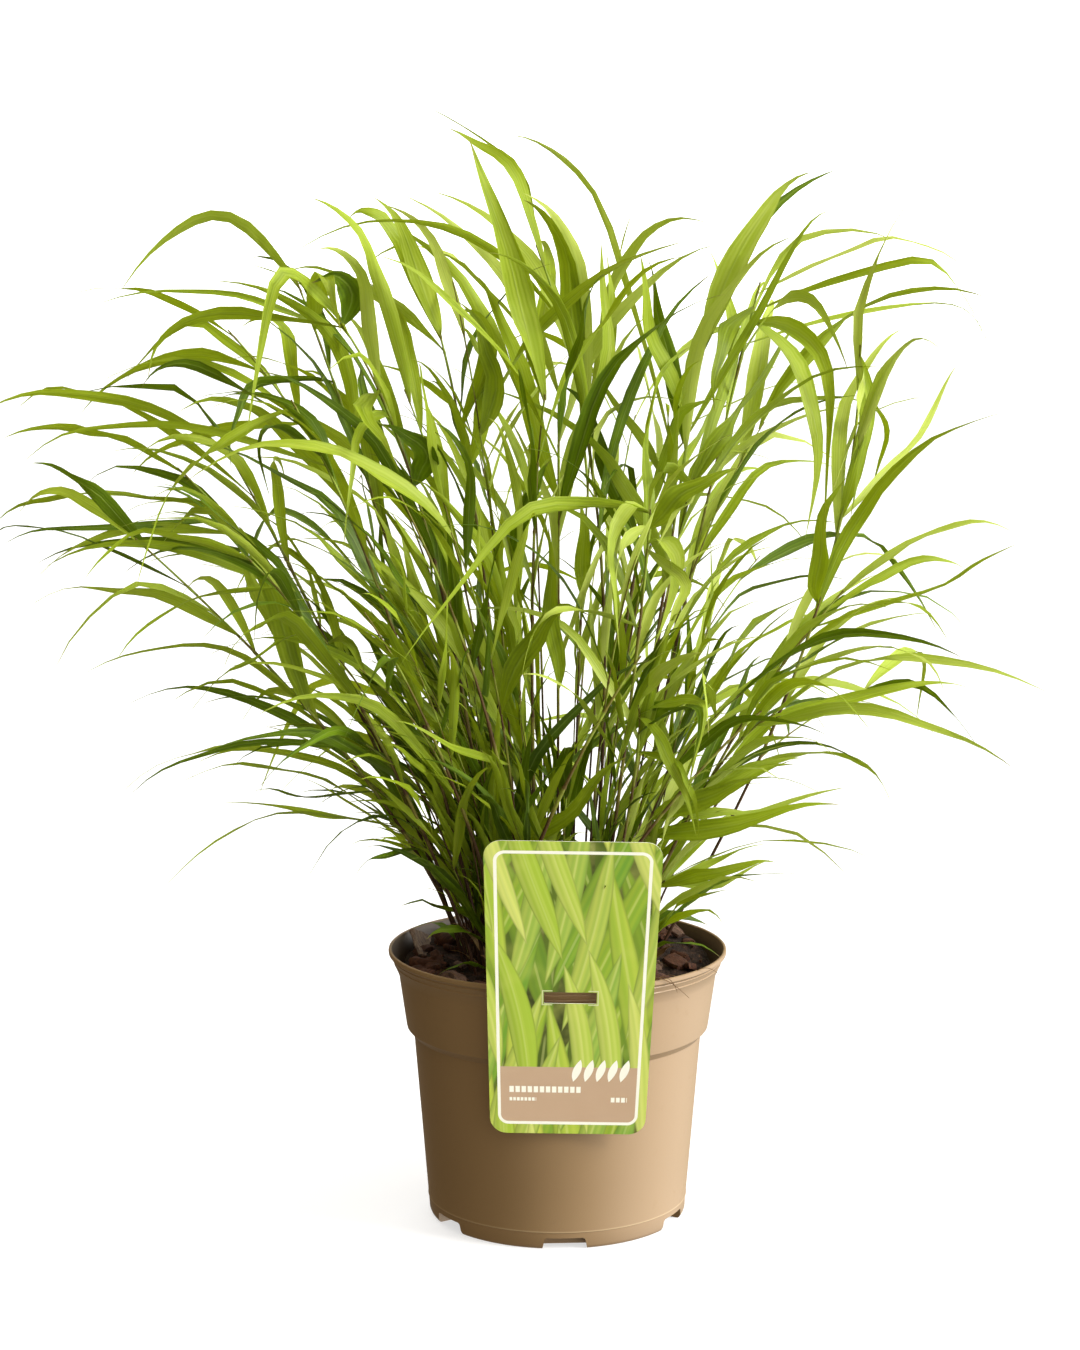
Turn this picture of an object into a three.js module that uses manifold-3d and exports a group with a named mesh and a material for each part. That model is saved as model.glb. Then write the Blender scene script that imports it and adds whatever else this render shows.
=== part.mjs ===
// Japanese forest grass in a three-litre nursery pot, with its plant label hooked on the rim.
// Millimetres, +Z up. The pot's axis is Z, its foot stands on Z = 0, and the label is at the front, -Y.

import * as THREE from "three";
import { mergeVertices } from "three/addons/utils/BufferGeometryUtils.js";
import Module from "manifold-3d";

const wasm = await Module();
wasm.setup();

// In the names below, D is a diameter, R a radius, Z a height above the surface that the pot stands
// on, and W and H a width and a height. A pair in brackets holds the limits of a draw.

// ---- Pot ----
const RIM_D = 190;
const POT_H = 152;
const WALL = 2;
const FOOT_D = 142;
const FOOT_EASE = 1.6;
const FOOT_EASE_Z = 2.5;
const BODY_FOOT_R = 73.2;
const PARTING_Z = 10;
const BODY_TOP_R = 80.9;
const COLLAR_Z = 104;
const COLLAR_STEP = 4;
const COLLAR_TOP_R = 89.2;
const LIP_H = 14;
const LIP_EDGE = 3;
const LIP_EASE = 0.4;
const FLOOR_UNDER = 3.5;
const FLOOR_TOP = 6;
const PAD_R = 12;
const PAD_EASE = 1.5;
const FOOT_RING = 9;
const POT_SIDES = 32;
const NOTCHES = 6;
const NOTCH_TURN = -87;
const NOTCH_BOTTOM = 27;
const NOTCH_TOP = 22;
const NOTCH_H = 6.5;
const NOTCH_REACH = 7;
const DRAINS = 6;
const DRAIN_D = 10;
const DRAIN_R = 48;
const DRAIN_SIDES = 8;

// ---- Soil ----
const SOIL_Z = 140;
const SOIL_GAP = 0.3;
const SOIL_EDGE_DROP = 2;
const SOIL_HEAVE_R = 71;
const SOIL_HEAVE = [-2, 3];
const SOIL_FLAT_R = 58;
const SOIL_SEED = 77;
const CROWN_R = 52;
const HOLE_DEPTH = 9;
const HOLE_GAP = 0.6;
const CHIPS = 12;
const CHIP_LONG = [12, 22];
const CHIP_WIDE = [7, 12];
const CHIP_THICK = 4;
const CHIP_UP = 1.4;
const CHIP_AWAY = [66, 73];
const CHIP_STRAY = 8;
const CHIP_ROLL = 14;
const CHIP_PITCH = 10;

// ---- Label card ----
const CARD_TOP_W = 94;
const CARD_BOTTOM_W = 83;
const CARD_H = 169;
const CARD_THICK = 0.8;
const CARD_CORNER = 9;
const CARD_LEAN = 10.3;
const CARD_TURN = 0.9;
const CARD_SHIFT = 6.3;
const CARD_HANG = 2;
const WINDOW_W = 28;
const WINDOW_H = 6.5;
const WINDOW_UP = 80;
const CARD_CORNER_EASE = 0.5;
const CARD_CORNER_STEPS = 4;
const TONGUE_BACK = 7;
const TONGUE_DROP = 3;
const TONGUE_SIDE = 1;
const TONGUE_RISE = 0.3;
const TONGUE_ROOT = 0.5;
const CARD_GAP = 0.3;

// ---- Stems and blades: their form. STEPS are shares of a blade's length ----
const STEM_FOOT_R = 1.5;
const STEM_TOP_R = 1;
const STEM_STEPS = 4;
const STEM_CORNERS = [0, 120, 240];
const BLADE_THICK = 0.8;
const BLADE_FOLD = 0.12;
const LONG_STEPS = [0, 0.16, 0.38, 0.63, 0.85];
const MIDDLE_STEPS = [0, 0.22, 0.52, 0.8];
const SHORT_STEPS = [0, 0.3, 0.66];
const BLADE_ROOT_W = 1.6;
const BLADE_NECK = 0.2;
const BLADE_BELLY = 0.36;
const BLADE_TAPER = 1.7;
const ROOT_TURN = 0.7;
const TURNED_BY = 0.4;
const LONG_BLADE = 170;
const MIDDLE_BLADE = 146;
const CARRY_STEPS = 6;
const CLEARANCE = 0.45;

// ---- Growth: stems. Leans and strays are degrees, or millimetres where they stray from a drawing ----
const STEM_CLEAR = 4;
const STEM_RISE = 2;
const STEM_TRIES = 60;
const SAMPLES = Array.from({ length: 25 }, (_, i) => i / 24);
const CROWN_CORE = 0.15;
const FULL_LEAN = 190;
const DRAWN_LEAN = 1.6;
const DRAWN_STRAY = 3;
const RULED_STRAY = 4;
const RULED_TRY_STRAY = 2;
const RULED_REACH = [0.92, 1.08];
const RULED_HEIGHT = [0.95, 1.05];
const RULED_BOW = 0.1;
const RULED_LIFT = 0.06;

// ---- Growth: leaves. Turns, drops, falls and swings are degrees; SHARES are along the stem ----
const LEAF_TRIES = 30;
const DRAWN_BACK = 4;
const DRAWN_SHARES = [0.36, 0.52, 0.66, 0.78];
const RULED_SHARES = [0.46, 0.62, 0.76, 0.88, 0.98];
const SHARE_STRAY = 0.03;
const LAST_SHARE = 0.98;
const LEAF_LONG = [105, 175];
const LEAF_SLIM = [0.056, 0.078];
const LEAF_SHRINK = 0.012;
const UPRIGHT = 70;
const FACING_LEAST = 8;
const FACING_MOST = 75;
const FACING_ALL_ROUND = 180;
const FACING_TRY = 2;
const LEAF_DROP = [2, 28];
const LEAF_FALL = [25, 62];
const FALL_LEAST = 0.35;
const FULL_FALL_OUT = 170;
const LEAF_SWING = 20;
const LEAF_TURN = [15, 70];
const LOW_TIP = 165;
const HIGH_TIP = 578;
const LEFT_TIP = 300;
const RIGHT_TIP = 262;
const DEEP_TIP = 235;

// A seed's first value, and what each further stem and leaf adds to it.
const DRAWN_STEM_SEED = [101, 17];
const RULED_STEM_SEED = [5003, 31];
const DRAWN_LEAF_SEED = [20011, 97, 7];
const RULED_LEAF_SEED = [40009, 197, 13];

const RIM_R = RIM_D / 2;
const FOOT_R = FOOT_D / 2;
const rad = THREE.MathUtils.degToRad;
const UP = new THREE.Vector3(0, 0, 1);

// ---- Solids ----

// A closed geometry as a manifold solid.
function solidOf(geometry) {
  const bare = geometry.clone();
  bare.deleteAttribute("normal");
  bare.deleteAttribute("uv");
  const merged = mergeVertices(bare, 1e-4);
  return new wasm.Manifold(
    new wasm.Mesh({
      numProp: 3,
      vertProperties: merged.attributes.position.array,
      triVerts: new Uint32Array(merged.index.array),
    }),
  );
}

// A manifold solid as a geometry.
function geometryOf(solid) {
  const mesh = solid.getMesh();
  const geometry = new THREE.BufferGeometry();
  geometry.setAttribute("position", new THREE.BufferAttribute(mesh.vertProperties, 3));
  geometry.setIndex(new THREE.BufferAttribute(mesh.triVerts, 1));
  geometry.computeVertexNormals();
  return geometry;
}

// Rings of equally many points, skinned from the first to the last. Each end is closed by a fan, or
// by a point where one is given.
function skin(rings, tip) {
  const sides = rings[0].length;
  const points = rings.flat();
  const faces = [];
  for (let i = 0; i + 1 < rings.length; i++)
    for (let k = 0; k < sides; k++) {
      const a = i * sides + k;
      const b = i * sides + ((k + 1) % sides);
      faces.push([a, b, b + sides], [a, b + sides, a + sides]);
    }
  for (let k = 1; k + 1 < sides; k++) faces.push([0, k + 1, k]);
  const last = (rings.length - 1) * sides;
  if (tip) {
    points.push(tip);
    for (let k = 0; k < sides; k++)
      faces.push([last + k, last + ((k + 1) % sides), points.length - 1]);
  } else for (let k = 1; k + 1 < sides; k++) faces.push([last, last + k, last + k + 1]);
  const geometry = new THREE.BufferGeometry();
  geometry.setAttribute(
    "position",
    new THREE.Float32BufferAttribute(points.flatMap((p) => [p.x, p.y, p.z]), 3),
  );
  geometry.setIndex(faces.flat());
  return geometry;
}

// A closed solid turned from a profile of [radius, height] pairs that starts and ends on the axis.
function turned(profile, sides) {
  const geometry = new THREE.LatheGeometry(
    profile.map(([r, z]) => new THREE.Vector2(r, z)),
    sides,
  );
  return geometry.rotateX(Math.PI / 2);
}

// A flat outline, extruded upwards by a height.
function slab(points, height) {
  const shape = new THREE.Shape(points.map(([x, y]) => new THREE.Vector2(x, y)));
  return new THREE.ExtrudeGeometry(shape, { depth: height, bevelEnabled: false });
}

// ---- Pot ----

function potSolid() {
  const lipZ = POT_H - LIP_H;
  const profile = [
    [0, 0],
    [PAD_R, 0],
    [PAD_R + PAD_EASE, FLOOR_UNDER],
    [FOOT_R - FOOT_RING - PAD_EASE, FLOOR_UNDER],
    [FOOT_R - FOOT_RING, 0],
    [FOOT_R, 0],
    [FOOT_R + FOOT_EASE, FOOT_EASE_Z],
    [BODY_FOOT_R, PARTING_Z],
    [BODY_TOP_R, COLLAR_Z],
    [BODY_TOP_R + COLLAR_STEP, COLLAR_Z + COLLAR_STEP],
    [COLLAR_TOP_R, lipZ],
    [RIM_R - LIP_EASE, POT_H - 1.5 * LIP_EDGE],
    [RIM_R, POT_H - LIP_EDGE / 2],
    [RIM_R - LIP_EDGE / 3, POT_H],
    [RIM_R - LIP_EDGE, POT_H],
    [COLLAR_TOP_R - WALL, lipZ],
    [BODY_TOP_R + COLLAR_STEP - WALL, COLLAR_Z + COLLAR_STEP],
    [BODY_TOP_R - WALL, COLLAR_Z],
    [BODY_FOOT_R - WALL, FLOOR_TOP],
    [0, FLOOR_TOP],
  ];
  let pot = solidOf(turned(profile, POT_SIDES));
  const notchOutline = [
    [-NOTCH_BOTTOM / 2, -NOTCH_REACH],
    [NOTCH_BOTTOM / 2, -NOTCH_REACH],
    [NOTCH_BOTTOM / 2, 0],
    [NOTCH_TOP / 2, NOTCH_H],
    [-NOTCH_TOP / 2, NOTCH_H],
    [-NOTCH_BOTTOM / 2, 0],
  ];
  for (let i = 0; i < NOTCHES; i++) {
    const notch = slab(notchOutline, FOOT_RING + 2 * NOTCH_REACH)
      .rotateX(Math.PI / 2)
      .translate(0, FOOT_R + NOTCH_REACH, 0)
      .rotateZ(rad(NOTCH_TURN - 90 + (360 / NOTCHES) * i));
    pot = pot.subtract(solidOf(notch));
  }
  for (let i = 0; i < DRAINS; i++) {
    const drain = new THREE.CylinderGeometry(DRAIN_D / 2, DRAIN_D / 2, 2 * FLOOR_TOP, DRAIN_SIDES)
      .rotateX(Math.PI / 2)
      .translate(DRAIN_R, 0, FLOOR_TOP / 2)
      .rotateZ(rad(NOTCH_TURN + (360 / DRAINS) * (i + 0.5)));
    pot = pot.subtract(solidOf(drain));
  }
  return pot;
}

// ---- Draws ----

// A seeded stream of draws from 0 to 1.
class Draws {
  constructor(seed) {
    this.state = seed;
    for (let i = 0; i < 4; i++) this.next();
  }
  next() {
    this.state = (this.state * 16807) % 2147483647;
    return this.state / 2147483647;
  }
  between(low, high) {
    return low + (high - low) * this.next();
  }
}

// ---- Stems and blades ----

// The frontal drawing: a point given by its place across and up in the axis plane, as seen from an
// eye in front of the plant, and its real distance behind that plane.
const EYE = new THREE.Vector3(-10, -1500, 520);

function seen([across, up, behind]) {
  const drawn = new THREE.Vector3(across, 0, up);
  return drawn.sub(EYE).multiplyScalar(1 - behind / EYE.y).add(EYE);
}

// The drawn stems. Each holds a point halfway up, its top, and its drawn leaves: the share of the
// stem's length where the leaf leaves it, a point halfway along, its tip, its width, and the turn
// of the blade about its own run, in degrees.
const DRAWN = [
  // left, long and low
  [[-110, 251, -25], [-233, 382, -40], [
    [0.62, [-164, 352, -40], [-181, 398, -55], 14, 70],
    [0.8, [-234, 352, -50], [-293, 353, -60], 11, 50],
    [0.98, [-258, 409, -45], [-288, 428, -50], 12.5, 65],
    [0.9, [-274, 385, -30], [-316, 386, -20], 7, 40]]],
  [[-125, 318, 25], [-183, 433, 40], [
    [0.98, [-250, 460, 45], [-316, 455, 50], 9, 55],
    [0.7, [-225, 380, 40], [-289, 374, 50], 8, 45],
    [0.85, [-240, 455, 60], [-297, 464, 80], 8, 50]]],
  [[-89, 325, -45], [-146, 458, -60], [
    [0.98, [-200, 420, -90], [-233, 364, -120], 12, 60],
    [0.86, [-160, 440, -90], [-158, 405, -110], 9, 30],
    [0.92, [-195, 474, -50], [-228, 471, -45], 8, 40]]],
  [[-78, 325, 10], [-143, 525, 20], [
    [0.98, [-189, 553, 25], [-240, 520, 30], 11, 65],
    [0.86, [-168, 461, -10], [-179, 421, -30], 10, 50],
    [0.93, [-128, 522, -40], [-118, 498, -90], 14, 10]]],
  [[-118, 302, 0], [-209, 421, 5], [
    [0.98, [-257, 440, 5], [-305, 441, 0], 9, 50],
    [0.9, [-262, 405, 15], [-312, 398, 20], 9, 50],
    [0.82, [-240, 385, -25], [-290, 362, -35], 9, 45]]],
  [[-104, 278, -55], [-172, 372, -80], [
    [0.98, [-220, 383, -100], [-262, 366, -120], 10, 50],
    [0.88, [-205, 345, -95], [-246, 318, -110], 9, 45],
    [0.75, [-170, 315, -100], [-205, 290, -125], 9, 40]]],
  [[-92, 352, 60], [-180, 496, 85], [
    [0.98, [-222, 515, 95], [-268, 517, 105], 7, 35],
    [0.9, [-215, 480, 100], [-262, 452, 120], 9, 50],
    [0.8, [-190, 440, 110], [-235, 425, 140], 10, 50]]],
  [[-68, 370, -25], [-120, 502, -35], [
    [0.97, [-196, 502, -20], [-224, 475, -15], 9, 50],
    [0.8, [-105, 452, -80], [-87, 425, -130], 14, 15]]],
  [[-39, 348, 0], [-65, 496, 5], [
    [0.98, [-91, 550, 5], [-114, 561, 0], 13, 78],
    [0.95, [-102, 517, 20], [-146, 535, 30], 9, 55],
    [0.72, [-39, 470, -10], [-54, 511, -15], 12, 80]]],
  // middle, tall
  [[-14, 340, -15], [-7, 461, -20], [
    [0.98, [-28, 543, -25], [-49, 600, -30], 14, 82]]],
  [[24, 370, 15], [-12, 542, 10], [
    [0.98, [-30, 587, 15], [-71, 615, 20], 6, 55],
    [0.7, [9, 530, 5], [-18, 573, 0], 12, 82],
    [0.86, [-64, 551, -10], [-146, 543, -30], 6, 30]]],
  [[40, 348, 35], [70, 436, 45], [
    [0.98, [58, 490, 45], [51, 540, 50], 12, 82],
    [0.6, [22, 436, 20], [4, 470, 20], 12, 80],
    [0.9, [18, 563, 70], [-27, 600, 60], 7, 60]]],
  [[58, 348, 10], [79, 487, 15], [
    [0.98, [101, 539, 20], [147, 588, 25], 13.5, 80],
    [0.8, [117, 520, 40], [144, 569, 60], 6, 60]]],
  // right, tall and arching over
  [[70, 345, 45], [110, 522, 50], [
    [0.98, [172, 541, 60], [227, 533, 60], 6, 25],
    [0.95, [190, 528, 30], [233, 499, 20], 7, 35],
    [0.9, [193, 509, 75], [235, 497, 90], 6, 25],
    [0.93, [142, 480, 0], [146, 385, -30], 12, 60],
    [0.88, [132, 513, -10], [159, 475, -40], 10, 40]]],
  [[138, 325, -5], [165, 488, -10], [
    [0.98, [166, 455, -40], [151, 410, -60], 9, 50],
    [0.92, [178, 440, 10], [171, 408, 25], 9, 60],
    [0.7, [197, 440, 30], [215, 480, 40], 7, 60]]],
  // right, low
  [[91, 258, 5], [158, 353, 10], [
    [0.98, [203, 383, 15], [252, 393, 20], 9, 55],
    [0.93, [195, 367, 30], [225, 368, 40], 8, 50],
    [0.88, [212, 357, -10], [252, 382, -15], 7, 45],
    [0.8, [180, 345, -20], [217, 331, -30], 7, 35],
    [0.72, [177, 328, -50], [210, 317, -70], 8, 35],
    [0.65, [135, 312, -30], [168, 334, -40], 12, 65]]],
  [[80, 238, -35], [121, 284, -50], [
    [0.98, [186, 313, -75], [275, 303, -90], 11, 50],
    [0.93, [177, 296, -45], [229, 306, -40], 9, 35],
    [0.86, [177, 283, -90], [255, 262, -110], 11, 45]]],
  [[45, 205, -20], [67, 231, -25], [
    [0.9, [106, 225, -45], [162, 240, -55], 10, 50],
    [0.98, [103, 249, -30], [134, 264, -35], 13, 62]]],
  [[52, 178, -15], [60, 189, -20], [
    [0.95, [88, 200, -20], [115, 214, -20], 7, 45],
    [0.8, [93, 189, -40], [121, 204, -50], 7, 50]]],
  // front middle
  [[42, 303, -40], [51, 398, -55], [
    [0.98, [-15, 390, -100], [-89, 313, -140], 12, 55],
    [0.92, [37, 362, -110], [34, 312, -125], 11, 20],
    [0.84, [68, 350, -100], [53, 322, -115], 9, 30],
    [0.62, [1, 340, -95], [-20, 312, -115], 8, 35]]],
  [[55, 320, 0], [75, 415, 5], [
    [0.96, [58, 417, -45], [50, 403, -90], 15, 10],
    [0.9, [72, 402, -50], [55, 385, -90], 13, 20],
    [0.98, [101, 456, 20], [131, 504, 35], 14, 78],
    [0.93, [100, 478, 45], [118, 511, 60], 10, 70]]],
  [[-21, 292, 10], [-25, 367, 15], [
    [0.98, [-17, 402, 15], [-4, 431, 20], 12, 82]]],
  [[60, 245, 15], [81, 297, 25], [
    [0.97, [85, 342, 25], [83, 387, 25], 9, 75]]],
  [[-30, 185, -25], [-25, 210, -30], [
    [0.97, [12, 227, -55], [33, 262, -65], 11, 62]]],
  [[41, 235, -50], [45, 289, -65], [
    [0.8, [76, 287, -100], [74, 255, -115], 8, 30],
    [0.7, [70, 249, -90], [79, 217, -105], 8, 35],
    [0.97, [59, 307, -85], [79, 322, -95], 14, 60]]],
  [[3, 200, -30], [5, 238, -35], [
    [0.97, [5, 259, -75], [4, 268, -115], 12, 5]]],
  // left, near the soil
  [[-70, 210, 0], [-112, 252, -5], [
    [0.98, [-180, 264, -15], [-245, 247, -20], 6, 30],
    [0.85, [-141, 238, 20], [-169, 245, 30], 6, 40]]],
  [[-62, 192, -20], [-95, 219, -30], [
    [0.98, [-143, 229, -30], [-189, 237, -30], 6, 25],
    [0.9, [-158, 224, -60], [-223, 188, -80], 6, 25],
    [0.8, [-108, 228, 5], [-142, 252, 20], 6, 45],
    [0.7, [-94, 204, -45], [-110, 200, -60], 6, 30]]],
];

// The stems by rule fill the crown all round: for each, the way it leans, in degrees from +X
// towards +Y, how far its top leans out, and how high that stands.
const RULED = [
  [90, 60, 470], [66, 140, 430], [112, 140, 440], [132, 180, 360], [48, 180, 370], [86, 190, 350],
  [150, 130, 450], [28, 120, 440], [100, 100, 520], [75, 80, 500], [60, 200, 260], [122, 210, 270],
  [270, 30, 430], [240, 100, 400], [302, 105, 370], [222, 140, 330], [322, 130, 300], [196, 130, 280],
  [205, 90, 460], [345, 80, 420], [182, 60, 500], [96, 180, 240], [20, 190, 290],
];

// The point of a smooth run from start over middle to end, at a share t of its way.
function along(run, t) {
  const [start, middle, end] = run;
  const bend = middle.clone().multiplyScalar(2).addScaledVector(start, -0.5).addScaledVector(end, -0.5);
  return start
    .clone()
    .multiplyScalar((1 - t) * (1 - t))
    .addScaledVector(bend, 2 * t * (1 - t))
    .addScaledVector(end, t * t);
}

function heading(run, t) {
  const step = 0.01;
  return along(run, Math.min(1, t + step)).sub(along(run, Math.max(0, t - step))).normalize();
}

// The level direction that points to the right of a run, seen along its way.
function levelSide(run) {
  const way = run[2].clone().sub(run[0]).setZ(0);
  if (way.length() < 1) way.set(0, -1, 0);
  return way.normalize().cross(UP);
}

// A blade's level side at its middle, carried along the run to a share t of its way without turning.
function carriedSide(run, t) {
  const side = levelSide(run);
  for (let i = 0; i <= CARRY_STEPS; i++) {
    const way = heading(run, 0.5 + ((t - 0.5) * i) / CARRY_STEPS);
    side.addScaledVector(way, -side.dot(way)).normalize();
  }
  return side;
}

// The point of a stem's axis at a share of its run. The stem is straight from ring to ring.
function onStem(run, share) {
  const step = Math.min(STEM_STEPS - 1, Math.floor(share * STEM_STEPS));
  const low = along(run, step / STEM_STEPS);
  return low.lerp(along(run, (step + 1) / STEM_STEPS), share * STEM_STEPS - step);
}

// A stem stands upright in its hole and bends over into its run above the soil.
function stemSolid(run) {
  const side = levelSide(run);
  const foot = run[0];
  const ring = (centre, way, radius) => {
    const across = side.clone().addScaledVector(way, -side.dot(way)).normalize();
    const over = way.clone().cross(across);
    return STEM_CORNERS.map((angle) =>
      centre
        .clone()
        .addScaledVector(across, radius * Math.cos(rad(angle)))
        .addScaledVector(over, radius * Math.sin(rad(angle))),
    );
  };
  const rings = [ring(foot.clone().setZ(SOIL_Z - HOLE_DEPTH + SOIL_GAP), UP, STEM_FOOT_R)];
  for (let i = 0; i <= STEM_STEPS; i++) {
    const t = i / STEM_STEPS;
    const way = i === 0 ? UP : heading(run, t);
    rings.push(ring(along(run, t), way, STEM_FOOT_R + (STEM_TOP_R - STEM_FOOT_R) * t));
  }
  return solidOf(skin(rings));
}

// The hole that a stem stands in.
function stemHole(run) {
  const side = levelSide(run);
  const radius = STEM_FOOT_R + HOLE_GAP;
  const points = STEM_CORNERS.map((angle) => {
    const p = side.clone().applyAxisAngle(UP, rad(angle)).multiplyScalar(radius);
    return [run[0].x + p.x, run[0].y + p.y];
  });
  return slab(points, 2 * HOLE_DEPTH).translate(0, 0, SOIL_Z - HOLE_DEPTH);
}

// How wide a blade is at a share t of its length, as a share of its full width.
function bladeWidth(t) {
  const swell = Math.sin((Math.PI / 2) * (t / BLADE_BELLY));
  if (t < BLADE_BELLY) return BLADE_NECK + (1 - BLADE_NECK) * swell;
  return 1 - ((t - BLADE_BELLY) / (1 - BLADE_BELLY)) ** BLADE_TAPER;
}

// Where a blade has its rings: the longer it is, the more.
function bladeSteps(run) {
  const length = run[0].distanceTo(run[2]);
  if (length > LONG_BLADE) return LONG_STEPS;
  return length > MIDDLE_BLADE ? MIDDLE_STEPS : SHORT_STEPS;
}

// A folded blade along its run, turned about it. Grown by extra on all sides, it is the room that
// the blade needs.
function bladeSolid({ run, width, turn }, extra = 0) {
  const rings = bladeSteps(run).map((t) => {
    const way = heading(run, t);
    const angle = rad(turn) * (ROOT_TURN + (1 - ROOT_TURN) * Math.min(1, t / TURNED_BY));
    const across = carriedSide(run, t).applyAxisAngle(way, angle);
    const face = across.clone().cross(way);
    const half = (t === 0 ? BLADE_ROOT_W : width * bladeWidth(t)) / 2 + 2 * extra;
    const centre = along(run, t);
    const at = (a, f) => centre.clone().addScaledVector(across, a).addScaledVector(face, f);
    return [at(-half, extra), at(half, extra), at(0, -BLADE_THICK - BLADE_FOLD * half - extra)];
  });
  return solidOf(skin(rings, along(run, 1).addScaledVector(heading(run, 1), extra)));
}

// ---- Label ----

// The card hangs in front of the rim. Its window is cut on three sides, and the tongue from it is
// bent back from the upper edge, over the rim and down inside.
function labelSolid() {
  const side = CARD_H / 2;
  const foot = CARD_BOTTOM_W / 2;
  const head = CARD_TOP_W / 2;
  const corner = CARD_CORNER;
  const ease = CARD_CORNER_EASE;
  const outline = new THREE.Shape();
  outline.moveTo(-foot + corner, -side);
  outline.lineTo(foot - corner, -side);
  outline.quadraticCurveTo(foot, -side, foot + ease, -side + corner);
  outline.lineTo(head - ease, side - corner);
  outline.quadraticCurveTo(head, side, head - corner, side);
  outline.lineTo(-head + corner, side);
  outline.quadraticCurveTo(-head, side, -head + ease, side - corner);
  outline.lineTo(-foot - ease, -side + corner);
  outline.quadraticCurveTo(-foot, -side, -foot + corner, -side);
  const windowTop = WINDOW_UP + WINDOW_H / 2 - side;
  const windowFoot = WINDOW_UP - WINDOW_H / 2 - side;
  const window = new THREE.Path();
  window.moveTo(-WINDOW_W / 2, windowFoot);
  window.lineTo(-WINDOW_W / 2, windowTop);
  window.lineTo(WINDOW_W / 2, windowTop);
  window.lineTo(WINDOW_W / 2, windowFoot);
  window.closePath();
  outline.holes.push(window);
  const card = new THREE.ExtrudeGeometry(outline, {
    depth: CARD_THICK,
    bevelEnabled: false,
    curveSegments: CARD_CORNER_STEPS,
  });
  const overLip = windowTop + CARD_HANG;
  // the tongue's profile, with X backwards from the card's face and Y up: it rises along the card's
  // back, lies over the lip and drops inside it
  const tongue = slab(
    [
      [0, windowTop],
      [1.2 * CARD_THICK, windowTop + TONGUE_ROOT],
      [2.6 * CARD_THICK, overLip],
      [TONGUE_BACK, overLip + TONGUE_RISE],
      [TONGUE_BACK + TONGUE_SIDE, overLip - TONGUE_DROP],
      [TONGUE_BACK + TONGUE_SIDE + CARD_THICK, overLip - TONGUE_DROP],
      [TONGUE_BACK + TONGUE_SIDE, overLip + TONGUE_RISE + CARD_THICK],
      [2 * CARD_THICK, overLip + CARD_THICK],
      [0, windowTop + 1.5 * CARD_THICK],
    ],
    WINDOW_W - 2 * TONGUE_SIDE,
  )
    .rotateY(Math.PI / 2)
    .translate(TONGUE_SIDE - WINDOW_W / 2, 0, CARD_THICK);
  const whole = geometryOf(solidOf(card).add(solidOf(tongue)))
    .rotateZ(rad(-CARD_TURN))
    .translate(0, -windowTop, 0)
    .rotateX(rad(90 + CARD_LEAN))
    .translate(CARD_SHIFT, -RIM_R - CARD_GAP, POT_H + CARD_GAP - CARD_HANG);
  return solidOf(whole);
}

// ---- Growing ----

const placed = [];

function place(solid, stem, isBlade) {
  placed.push({ solid, stem, isBlade, box: solid.boundingBox() });
}

function boxesMeet(a, b) {
  return [0, 1, 2].every((k) => a.min[k] <= b.max[k] && b.min[k] <= a.max[k]);
}

// A blade is clear when it meets nothing but the stem that it grows from.
function isClear(solid, stem) {
  const box = solid.boundingBox();
  return placed.every(
    (other) =>
      (other.stem === stem && !other.isBlade) ||
      !boxesMeet(box, other.box) ||
      solid.intersect(other.solid).isEmpty(),
  );
}

// Where a stem stands on the crown: the further it leans, the further out.
function footOf(way, out) {
  const share = Math.min(1, out / FULL_LEAN);
  return way
    .clone()
    .setZ(0)
    .setLength(CROWN_R * (CROWN_CORE + (1 - CROWN_CORE) * share))
    .setZ(SOIL_Z + STEM_RISE);
}

function drawnRun([middle, top], draws, tries) {
  const shift = new THREE.Vector3(0, draws.between(-DRAWN_STRAY, DRAWN_STRAY) * tries, 0);
  const end = seen(top).add(shift);
  const half = seen(middle).addScaledVector(shift, 0.5);
  return [footOf(half, DRAWN_LEAN * Math.hypot(half.x, half.y)), half, end];
}

function ruledRun([lean, out, high], draws, tries) {
  const angle = rad(lean + draws.between(-1, 1) * (RULED_STRAY + RULED_TRY_STRAY * tries));
  const reach = out * draws.between(...RULED_REACH);
  const way = new THREE.Vector3(Math.cos(angle), Math.sin(angle), 0);
  const foot = footOf(way, out);
  const end = way.clone().multiplyScalar(reach).setZ(high * draws.between(...RULED_HEIGHT));
  const half = foot.clone().lerp(end, 0.5).addScaledVector(way, -RULED_BOW * reach);
  half.z += RULED_LIFT * high;
  return [foot, half, end];
}

function runsClear(run, others) {
  const points = SAMPLES.map((t) => along(run, t));
  return others.every((other) =>
    SAMPLES.every((t) => {
      const p = along(other, t);
      return points.every((q) => q.distanceTo(p) > STEM_CLEAR);
    }),
  );
}

// The first of a stem's seeded runs that keeps clear of the stems before it.
function growRun(make, seed, others) {
  const draws = new Draws(seed);
  for (let tries = 0; tries < STEM_TRIES; tries++) {
    const run = make(draws, tries);
    if (runsClear(run, others)) return run;
  }
  throw new Error("no room for stem " + others.length);
}

function drawnLeaf(run, [share, middle, tip, width, turn], draws, tries) {
  const base = onStem(run, share);
  const aside = draws.between(-1, 1) * tries;
  const back = draws.between(-DRAWN_BACK, DRAWN_BACK) * tries;
  const half = seen(middle).add(new THREE.Vector3(0, back / 2, aside / 2));
  const end = seen(tip).add(new THREE.Vector3(0, back, aside));
  return { run: [base, half, end], width, turn };
}

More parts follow.
